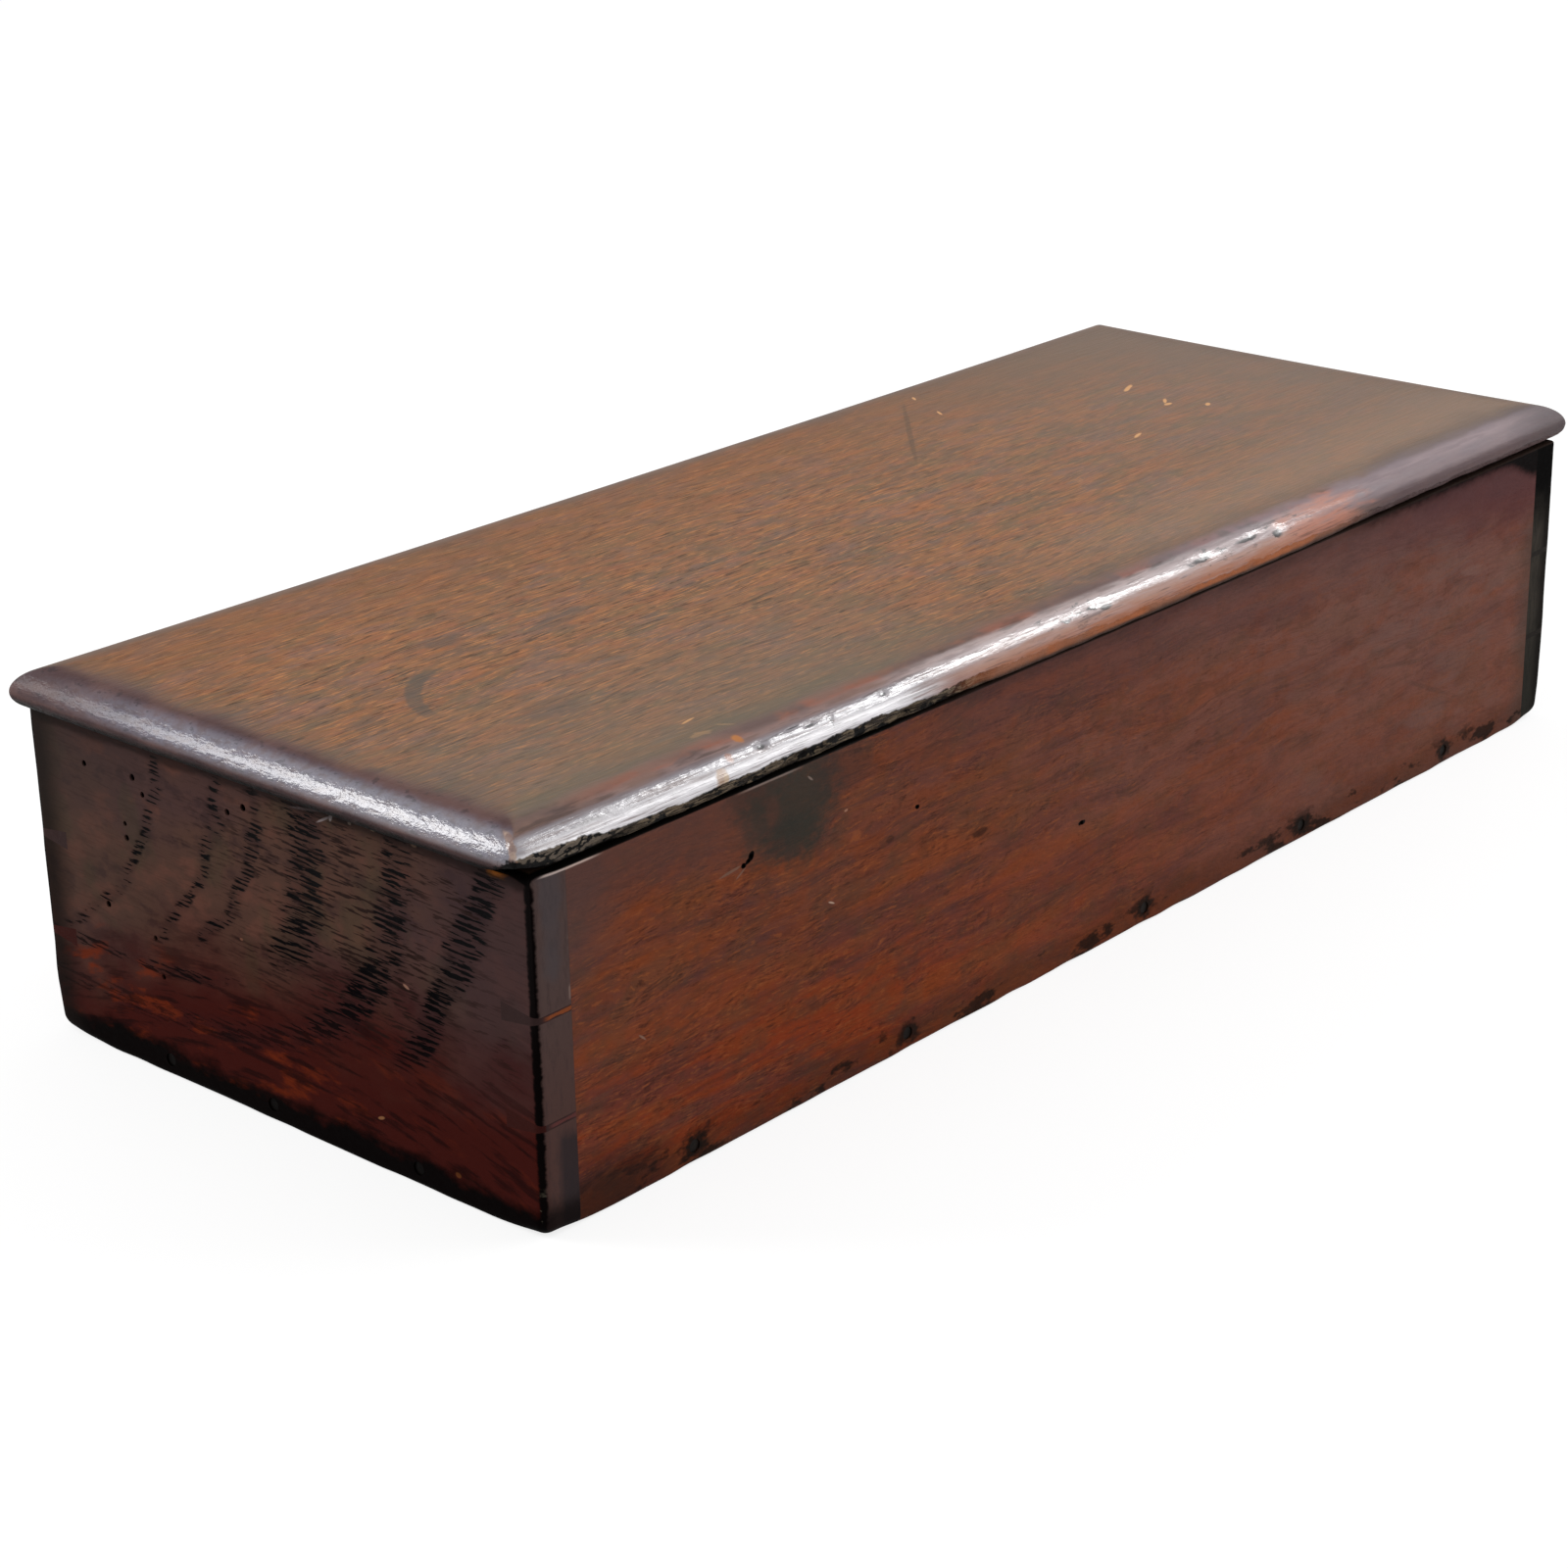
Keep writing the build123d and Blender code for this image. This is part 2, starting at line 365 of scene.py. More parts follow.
# Dents in the front moulding: place along it, distance in from the nose, length, width, depth
moulding_dents = (
    (-122.0, 2.1, 1.5, 0.7, 0.50),
    (-107.2, 2.2, 1.7, 0.4, 0.40),
    (-111.4, 2.9, 3.2, 0.2, 0.20),
    (-101.3, 1.6, 0.3, 1.5, 0.25),
    (-84.0, 2.3, 1.2, 0.6, 0.30),
    (-22.0, 1.6, 1.4, 0.6, 0.40),
    (-12.0, 2.3, 2.4, 0.7, 0.50),
    (-8.0, 1.4, 3.2, 0.8, 0.35),
    (30.0, 2.6, 4.5, 1.0, 0.40),
    (49.0, 3.0, 6.0, 1.0, 0.45),
    (60.0, 1.8, 2.4, 1.4, 0.45),
)


def aged(points):
    """The lid's points, cupped and with the hollows, chips and creases of long use."""
    x, y, z = points.T.copy()
    nose = lid_low.z + nose_height
    from_end = lid_half_length - np.abs(x)
    from_side = lid_half_width - np.abs(y)
    upper = np.clip((z - lid_low.z) / (lid_high.z - lid_low.z), 0, 1)
    # the moulding's outward direction, for pushing points in
    in_end = np.clip(1 - from_end / moulding_run, 0, 1)
    in_side = np.clip(1 - from_side / moulding_run, 0, 1)
    front = in_side * (y < 0)
    # long use has worn the nose unevenly
    wave = 0.10 + 0.10 * rumple(points, (16, 16, 30), 3)
    # the lower lip of the front is broken along the grain
    low_lip = np.exp(-((z - lid_low.z - 1.4) / 1.6) ** 2) * (front > 0.55)
    broken = np.clip(rumple(points, (6, 5, 1.2), 5) + 0.2, 0, None)
    broken += 0.7 * np.clip(rumple(points, (2.4, 5, 0.8), 6), 0, None)
    strength = np.where(x < -50, 1.2, 0.45 + 0.25 * rumple(points, (40, 50, 50), 8))
    chips = low_lip * broken * strength
    # single dents
    dents = np.zeros(len(x))
    for along, inset, length, width, depth in moulding_dents:
        near = ((x - along) / length) ** 2 + ((from_side - inset) / width) ** 2
        dents += depth * np.exp(-near) * (y < 0) * (z > nose)
    # a crease along each mitre
    mitre = np.abs(from_end - from_side) < 0.01
    crease = 0.18 * mitre * (np.minimum(from_end, from_side) < moulding_run - 0.5)
    # the near corner is knocked round, and its lower lip is gone
    to_corner = np.hypot(x + lid_half_length, y + lid_half_width)
    knocked = np.exp(-(to_corner / 3) ** 2)
    lost = np.exp(-(to_corner / (7.5 + 2 * rumple(points, (4, 4, 4), 12))) ** 2)
    push = wave + chips + crease + 0.7 * knocked
    # the lip is fuller along its middle, where it hides the gap below it
    fuller = np.interp(x, (-180, -160, -62, -32, 72, 112), (0, 0.4, 0.4, 0.8, 0.8, 0))
    lip = (z < nose) & (y < 0) & (from_side < underside_run + 0.01)
    y -= lip * fuller * from_side
    x -= np.sign(x) * push * in_end
    y -= np.sign(y) * (push * in_side + 0.35 * dents)
    z -= (0.3 * crease + dents) * (upper > 0.3)
    z += lost * 0.9 * np.clip(nose - 0.2 - z, 0, None)
    # the board has cupped: its ends and sides stand higher than its middle
    along = (x / lid_half_length) ** 2
    across = (y / lid_half_width) ** 2
    z_top = -0.95 + 0.5 * along + 0.45 * across
    z_low = -0.22 + 0.3 * along * along * (0.35 + 0.65 * across)
    z += upper * z_top + (1 - upper) * z_low
    z += 0.04 * rumple(points, (30, 14, 50), 9) * (upper > 0.95)
    return np.stack([x, y, np.clip(z, lid_low.z, lid_high.z)], axis=1)


# Paints

def tone(red, green, blue):
    """A colour given as it looks on screen, from 0 to 255, for a shader."""
    def straight(part):
        part = part / 255
        return part / 12.92 if part <= 0.04045 else ((part + 0.055) / 1.055) ** 2.4
    return (straight(red), straight(green), straight(blue), 1.0)


class Field:
    """A number or colour that varies over a surface, with arithmetic on it."""

    def __init__(self, paint, socket):
        self.paint = paint
        self.socket = socket

    def __add__(self, other):
        return self.paint.math("ADD", self, other)

    def __sub__(self, other):
        return self.paint.math("SUBTRACT", self, other)

    def __rsub__(self, other):
        return self.paint.math("SUBTRACT", other, self)

    def __mul__(self, other):
        return self.paint.math("MULTIPLY", self, other)

    __radd__ = __add__
    __rmul__ = __mul__

    def __abs__(self):
        return self.paint.math("ABSOLUTE", self)

    def ramp(self, start, end, after=1.0, before=0.0):
        """Smoothly from one value before start to another after end; start may be above end."""
        made = self.paint.node("ShaderNodeMapRange", interpolation_type="SMOOTHSTEP")
        self.paint.feed(made.inputs["Value"], self)
        made.inputs["From Min"].default_value = min(start, end)
        made.inputs["From Max"].default_value = max(start, end)
        made.inputs["To Min"].default_value = after if start > end else before
        made.inputs["To Max"].default_value = before if start > end else after
        return Field(self.paint, made.outputs["Result"])

    def lay(self, share, *over):
        """Lays a colour over this one, by share: three numbers, or a colour that varies."""
        self.socket = self.paint.mix(share, self, over if len(over) == 3 else over[0]).socket


class Paint:
    """One material, whose fields vary with the place on the object in millimetres."""

    def __init__(self, name, specular, coat_roughness=0.3, coat_ior=1.5, metallic=0.0):
        self.material = bpy.data.materials.new(name)
        self.material.use_nodes = True
        self.tree = self.material.node_tree
        self.shader = self.tree.nodes["Principled BSDF"]
        self.shader.inputs["Specular IOR Level"].default_value = specular
        self.shader.inputs["Coat Roughness"].default_value = coat_roughness
        self.shader.inputs["Coat IOR"].default_value = coat_ior
        self.shader.inputs["Metallic"].default_value = metallic
        place = self.node("ShaderNodeTexCoord").outputs["Object"]
        grown = self.node("ShaderNodeVectorMath", operation="SCALE")
        self.feed(grown.inputs[0], Field(self, place))
        grown.inputs["Scale"].default_value = 1 / mm
        self.place = Field(self, grown.outputs[0])
        parts = self.node("ShaderNodeSeparateXYZ")
        self.feed(parts.inputs[0], self.place)
        self.x, self.y, self.z = (Field(self, socket) for socket in parts.outputs)

    def node(self, kind, **settings):
        made = self.tree.nodes.new(kind)
        for name, value in settings.items():
            setattr(made, name, value)
        return made

    def feed(self, socket, value):
        if isinstance(value, Field):
            self.tree.links.new(value.socket, socket)
        else:
            socket.default_value = value

    def math(self, operation, *values):
        made = self.node("ShaderNodeMath", operation=operation)
        for socket, value in zip(made.inputs, values):
            self.feed(socket, value)
        return Field(self, made.outputs[0])

    def most(self, first, *others):
        for other in others:
            first = self.math("MAXIMUM", first, other)
        return first

    def least(self, first, *others):
        for other in others:
            first = self.math("MINIMUM", first, other)
        return first

    def at(self, x, y, z):
        """A place made of three fields."""
        made = self.node("ShaderNodeCombineXYZ")
        for socket, value in zip(made.inputs, (x, y, z)):
            self.feed(socket, value)
        return Field(self, made.outputs[0])

    def noise(self, cell, seed, detail=3, roughness=0.5, place=None):
        """Cloudy noise round 0.5, with cells of the given size along each axis."""
        spread = self.node("ShaderNodeMapping")
        self.feed(spread.inputs["Vector"], place or self.place)
        spread.inputs["Location"].default_value = (seed * 17.31, seed * -9.17, seed * 5.73)
        spread.inputs["Scale"].default_value = [1 / part for part in cell]
        made = self.node("ShaderNodeTexNoise")
        self.feed(made.inputs["Vector"], Field(self, spread.outputs[0]))
        made.inputs["Scale"].default_value = 1.0
        made.inputs["Detail"].default_value = detail
        made.inputs["Roughness"].default_value = roughness
        return Field(self, made.outputs[0])

    def mix(self, share, first, second):
        """Colour second over first, by share; a plain colour is three numbers, as in tone."""
        made = self.node("ShaderNodeMix", data_type="RGBA")
        self.feed(made.inputs[0], share)
        for socket, colour in ((made.inputs[6], first), (made.inputs[7], second)):
            self.feed(socket, colour if isinstance(colour, Field) else tone(*colour))
        return Field(self, made.outputs[2])

    def reach(self, centre, radii, turn=(0, 0, 0)):
        """0 at the centre of a turned ellipsoid, 1 on it, more outside."""
        spread = self.node("ShaderNodeMapping", vector_type="TEXTURE")
        self.feed(spread.inputs["Vector"], self.place)
        spread.inputs["Location"].default_value = centre
        spread.inputs["Rotation"].default_value = [math.radians(angle) for angle in turn]
        spread.inputs["Scale"].default_value = radii
        length = self.node("ShaderNodeVectorMath", operation="LENGTH")
        self.feed(length.inputs[0], Field(self, spread.outputs[0]))
        return Field(self, length.outputs["Value"])

    def spot(self, centre, radii, turn=(0, 0, 0), ragged=None, soft=0.15):
        """1 inside a turned ellipsoid and 0 outside, its outline roughened by a field."""
        reach = self.reach(centre, radii, turn)
        if ragged is not None:
            reach = reach + ragged
        return reach.ramp(1 + soft, 1 - soft)

    def finish(self, colour, roughness, coat, relief, depth):
        """Joins the fields to the shader; relief times depth, in millimetres, is the bump."""
        self.feed(self.shader.inputs["Base Color"], colour)
        self.feed(self.shader.inputs["Roughness"], roughness)
        self.feed(self.shader.inputs["Coat Weight"], coat)
        bump = self.node("ShaderNodeBump")
        bump.inputs["Strength"].default_value = 1.0
        bump.inputs["Distance"].default_value = depth * mm
        self.feed(bump.inputs["Height"], relief)
        self.feed(self.shader.inputs["Normal"], Field(self, bump.outputs[0]))
        self.feed(self.shader.inputs["Coat Normal"], Field(self, bump.outputs[0]))
        return self.material


# The half size of a mark in the direction in which it has no end
flat = 1e4


def lid_masks(p):
    """Where a place on the lid lies: its distance in from the nose, and which side it is on."""
    from_end = lid_half_length - abs(p.x)
    from_side = lid_half_width - abs(p.y)
    inset = p.least(from_end, from_side)
    gentle = 1 - inset.ramp(3, 9, 0.88)
    beside_end = ((from_end - from_side) * gentle).ramp(-0.4, 0.4)
    is_front = beside_end * p.y.ramp(5, -5)
    is_left = (1 - beside_end) * p.x.ramp(5, -5)
    return from_end, from_side, inset, is_front, is_left


def lid_top_colour(p, rough_edge):
    """Worn orange-brown varnish: long fine streaks, olive patches, chips and a few old marks."""
    along = p.x + p.y * 0.05
    wavy = p.y + (p.noise((34, 12, 9), 3, detail=2) - 0.5) * 4
    place = p.at(along, wavy, p.z)
    broad = p.noise((80, 7, 20), 4, detail=4, roughness=0.6, place=place)
    sway = broad - 0.5
    streak = p.noise((15, 1.1, 9), 5, roughness=0.6, place=place)
    dash = p.noise((6, 0.55, 9), 6, roughness=0.6, place=place)
    pore = p.noise((6.5, 0.5, 9), 7, roughness=0.6, place=place)
    worn_side = (p.x - p.y * 0.25).ramp(160, -60, 1, 0.4)
    colour = p.mix(broad.ramp(0.36, 0.64), (139, 96, 64), (117, 90, 68))
    colour.lay(streak.ramp(0.48, 0.66, 0.6), 160, 102, 58)
    colour.lay(streak.ramp(0.50, 0.34, 0.55), 100, 74, 58)
    for cell, seed, share, paint in top_tints:
        tint = p.noise(cell, seed, detail=4, roughness=0.6).ramp(0.50, 0.62)
        colour.lay(tint * share, *paint)
    colour.lay(dash.ramp(0.54, 0.66) * worn_side * 0.75, 190, 128, 78)
    colour.lay(pore.ramp(0.54, 0.66) * worn_side * 0.85, 68, 48, 34)
    back = (p.y + sway * 60).ramp(10, 72)
    colour.lay(back * 0.5, 128, 80, 44)
    colour.lay(back * p.x.ramp(40, 160, 0.65), 96, 84, 70)
    colour.lay(p.x.ramp(140, 185, 0.5), 100, 86, 76)
    # greyer towards the far right: a painted sheen
    grey_painted_sheen = (p.x - p.y * 0.3).ramp(20, 190)
    colour.lay(grey_painted_sheen * 0.6, 120, 100, 86)
    front_left = (p.y + sway * 40).ramp(0, -50) * p.x.ramp(-10, -80)
    colour.lay(front_left * 0.4, 118, 104, 90)
    front_right = p.y.ramp(-25, -60) * p.x.ramp(-30, 40)
    colour.lay(front_right * 0.4, 148, 122, 102)

    # an old crescent mark, a long scratch and small pale chips
    outer = (p.reach((-129.4, -20.3, 85), (28.5, 28.5, flat)) + rough_edge * 0.04).ramp(1.0, 0.97)
    inner = (p.reach((-127.6, -22.1, 85), (27.5, 27.5, flat)) + rough_edge * 0.04).ramp(0.97, 1.0)
    crescent = outer * inner * p.spot((-148.0, -2.4, 85), (15, 9, flat), (0, 0, 47), soft=0.35)
    colour.lay(crescent * 0.7, 86, 77, 68)
    scratch = p.spot((66, 42, 85), (27, 0.7, flat), (0, 0, 43), rough_edge * 0.4, soft=0.3)
    colour.lay(scratch * 0.5, 84, 68, 54)
    for x, y, length, width, share in top_smudges:
        smudge = p.spot((x, y, 85), (length, width, flat), (0, 0, 10), rough_edge * 0.6, soft=0.4)
        colour.lay(smudge * share, 90, 76, 66)
    for x, y, length, width, turn in top_chips:
        chip = p.spot((x, y, 85), (length, width, flat), (0, 0, turn), rough_edge * 0.9, soft=0.3)
        colour.lay(chip * 0.9, 214, 160, 108)
    relief = streak * 0.5 + dash * 0.25 - pore * 0.3
    return colour, relief


def moulding_colour(p, inset, is_front, is_left, fleck, rough_edge):
    """Dark polished mouldings: pale along the nose, partly rubbed and partly painted highlights and
    sheen, with painted shade below it, and with dents, cracks and bare spots.
    """
    shade = p.noise((12, 12, 2), 10, detail=4)
    lengthwise = p.noise((16, 16, 0.7), 11, roughness=0.6)
    blotchy = shade - 0.5
    fibrous = lengthwise - 0.5
    crosswise = p.noise((3.5, 3.5, 1.0), 19, roughness=0.6)
    nose = lid_low.z + nose_height
    plain = p.mix(shade.ramp(0.35, 0.65), (100, 80, 68), (112, 88, 74))
    dark_front = p.mix(shade.ramp(0.35, 0.65), (104, 84, 80), (124, 98, 88))
    dark_left = p.mix(shade.ramp(0.35, 0.65), (76, 54, 54), (98, 72, 68))
    colour = p.mix(is_front, p.mix(is_left, plain, dark_left), dark_front)
    from_corner = p.x.ramp(-180, -150)
    redder = inset.ramp(4.2, 6.0) * inset.ramp(11.0, 7.4) * shade.ramp(0.40, 0.58)
    redder = redder * lengthwise.ramp(0.38, 0.56, 1, 0.2) * from_corner
    colour.lay(redder * is_front * p.x.ramp(110, 50, 0.85), 144, 92, 76)
    colour.lay(redder * is_left * 0.4, 96, 62, 56)
    # a pale lilac band above the streak on the front: painted sheen
    upper = is_front * inset.ramp(2.4, 4.0) * (inset + fibrous * 4).ramp(6.8, 4.4)
    upper = upper * from_corner * p.x.ramp(-110, -55, 1, 0.5)
    colour.lay(upper * lengthwise.ramp(0.36, 0.58, 0.8, 0.2), 178, 152, 148)

    # pale along the nose: painted highlights and sheen, partly over rubbed wear
    # pale grey-lilac on the front nose at the left: partly rubbed wear, partly a painted highlight
    rubbed_and_highlit_front = is_front * p.x.ramp(-40, -80) * (inset + fibrous * 2).ramp(4.4, 2.6)
    rubbed_and_highlit_front = rubbed_and_highlit_front * lengthwise.ramp(0.34, 0.56, 1, 0.45)
    colour.lay(rubbed_and_highlit_front * 0.85, 146, 142, 150)
    # a near-white edge low on the front nose at the left: a painted highlight
    painted_highlight_edge = (p.z + fibrous * 1.2).ramp(nose + 2.3, nose + 1.5)
    painted_highlight_edge = painted_highlight_edge * is_front * p.x.ramp(-60, -80)
    painted_highlight_edge = painted_highlight_edge * lengthwise.ramp(0.32, 0.46, 1, 0.2)
    colour.lay(painted_highlight_edge * 0.9, 236, 232, 236)
    # bluish pale on the left moulding, stronger towards the near corner: partly rubbed wear, partly a
    # painted highlight
    rubbed_and_highlit_left = is_left * inset.ramp(7.0, 2.4) * p.z.ramp(nose - 0.6, nose + 1.8)
    rubbed_and_highlit_left = rubbed_and_highlit_left * p.y.ramp(74, 20, 0.9, 0.1)
    rubbed_and_highlit_left = rubbed_and_highlit_left * crosswise.ramp(0.36, 0.56, 1, 0.5)
    colour.lay(rubbed_and_highlit_left * 0.75, 128, 128, 146)
    # dark below the nose of the left moulding: painted shade
    painted_nose_shade = is_left * (p.z + blotchy * 1.4).ramp(nose + 0.4, nose - 1.2)
    colour.lay(painted_nose_shade * 0.85, 44, 30, 32)
    # grey-lilac over the right part of the front moulding: a painted sheen
    painted_haze_sheen = is_front * p.x.ramp(-20, 60) * inset.ramp(12.0, 7.0) * p.z.ramp(nose, nose + 2.4)
    colour.lay(painted_haze_sheen * 0.65, 140, 127, 134)
    worn_wood = is_front * p.x.ramp(-80, -50) * p.x.ramp(90, 60)
    # pale lilac along the middle of the front nose: a painted highlight
    painted_lilac_highlight = worn_wood * (inset + fibrous * 2.4).ramp(4.6, 3.4)
    colour.lay(painted_lilac_highlight * lengthwise.ramp(0.34, 0.56, 0.9, 0.5), 188, 170, 170)
    low_edge = p.z + fibrous * 2.4 + blotchy * 3
    worn_wood = worn_wood * low_edge.ramp(nose + 3.4, nose + 1.4)
    orange = p.mix(low_edge.ramp(nose + 1.8, nose - 0.6), (176, 134, 116), (172, 108, 76))
    colour.lay(worn_wood * shade.ramp(0.36, 0.56, 0.9, 0.6), orange)
    # darker lower part of the front nose at the right: painted shade
    painted_lower_nose_shade = is_front * p.x.ramp(80, 112) * (p.z + blotchy * 2).ramp(nose + 3.0, nose + 0.8)
    colour.lay(painted_lower_nose_shade * 0.75, 84, 66, 70)
    dim_edge = is_front * p.x.ramp(90, 120) * (inset + blotchy * 3).ramp(5.6, 7.6)
    colour.lay(dim_edge * 0.6, 100, 86, 80)
    colour.lay(is_front * p.x.ramp(158, 190, 0.6), 66, 58, 60)
    pink = p.spot((78, -lid_half_width, 82), (15, 9, flat), ragged=blotchy * 3, soft=0.5)
    pink = pink * lengthwise.ramp(0.34, 0.56, 1, 0.4)
    colour.lay(pink * is_front * 0.9, 182, 122, 102)
    greenish = p.noise((9, 5, 5), 12, detail=4).ramp(0.52, 0.66) * is_front
    greenish = greenish * p.x.ramp(-30, 0) * p.x.ramp(110, 70) * inset.ramp(3.8, 6.5)
    colour.lay(greenish * 0.5, 96, 94, 90)

    # dark grain, specks, dents and cracks
    lined = lengthwise.ramp(0.56, 0.68) * is_front * p.x.ramp(130, 80)
    colour.lay(lined * 0.5, 66, 56, 54)
    colour.lay(crosswise.ramp(0.58, 0.68) * is_left * 0.5, 44, 38, 42)
    specks = p.noise((4, 1.1, 1.1), 13, roughness=0.6).ramp(0.58, 0.62)
    for middle, half in ((-20, 16), (32, 9), (60, 13)):
        specked = p.spot((middle, 2.6 - lid_half_width, 82), (half, 2.2, flat), soft=0.5)
        colour.lay(specks * specked * is_front * 0.8, 58, 62, 62)
    for along_front, inward, length, width, _ in moulding_dents:
        dent = p.spot((along_front, inward - lid_half_width, 82), (length * 0.7, width * 0.6, flat),
                      ragged=rough_edge * 0.9, soft=0.3)
        colour.lay(dent * is_front * 0.9, 36, 36, 38)
    for (mark_x, inward), (length, width), paint in moulding_marks:
        mark = p.spot((mark_x, inward - lid_half_width, 82), (length, width, flat),
                      ragged=rough_edge * 0.9, soft=0.35)
        colour.lay(mark * is_front * 0.9, *paint)
    dimple = p.noise((0.9, 1.1, 0.7), 63, detail=2)
    relief = lengthwise * is_front * 0.6 + (crosswise * 0.7 + dimple * 0.22) * is_left
    return colour, relief + fleck * 0.25, shade, lengthwise, fibrous


# Bare spots on the front moulding: place along it and in from the nose, half sizes and colour
moulding_marks = (
    ((-135.4, 0.5), (1.5, 0.7), (158, 120, 84)),
    ((-134.2, 0.2), (0.9, 0.3), (190, 160, 124)),
    ((-131.2, 2.2), (1.0, 0.8), (168, 122, 104)),
    ((-125.4, 5.4), (1.2, 1.3), (186, 122, 70)),
)


def lip_colour(p, is_front):
    """The lower lip: broken at the front, with black cracks, pale fibres and bare orange wood;
    painted shade low on it and along the other sides.
    """
    fibre = p.noise((6, 6, 0.5), 15, detail=4, roughness=0.7)
    chunk = p.noise((4, 5, 2.2), 20, roughness=0.6)
    broken = p.mix(fibre.ramp(0.44, 0.62), (46, 38, 32), (128, 112, 92))
    broken.lay(chunk.ramp(0.51, 0.57), 10, 8, 7)
    near = p.x.ramp(-156, -168)
    broken.lay(near * 0.6, 134, 121, 108)
    cracked = abs(p.noise((4.5, 5, 1.9), 66) - 0.5).ramp(0.062, 0.036)
    broken.lay(cracked * near, 3, 2, 2)
    middle = p.x.ramp(-68, -44) * p.x.ramp(110, 76)
    # bare orange wood along the middle of the front lip, dark along its lowest edge: that dark is
    # painted shade
    worn_and_shaded_lip = p.mix(p.z.ramp(lid_low.z, lid_low.z + 1.9), (58, 41, 35), (152, 101, 77))
    bare = p.noise((14, 30, 30), 16, detail=2).ramp(0.40, 0.54)
    bare = bare * p.z.ramp(lid_low.z + 0.4, lid_low.z + 1.3)
    worn_and_shaded_lip.lay(bare * 0.9, 168, 98, 60)
    broken.lay(middle, worn_and_shaded_lip)
    broken.lay(p.x.ramp(70, 112), 92, 72, 72)
    # the lip on the other sides is dark: painted shade
    colour = p.mix(is_front, (44, 28, 27), broken)
    # black low on the broken lip near the near corner: painted shadow
    black = (p.z + (chunk - 0.5) * 3.0).ramp(lid_low.z + 2.0, lid_low.z + 1.2)
    black = black * p.x.ramp(-150, -172)
    colour.lay(black, 3, 2, 2)
    return colour, (fibre - chunk * 1.5) * (1 - middle * 0.7)


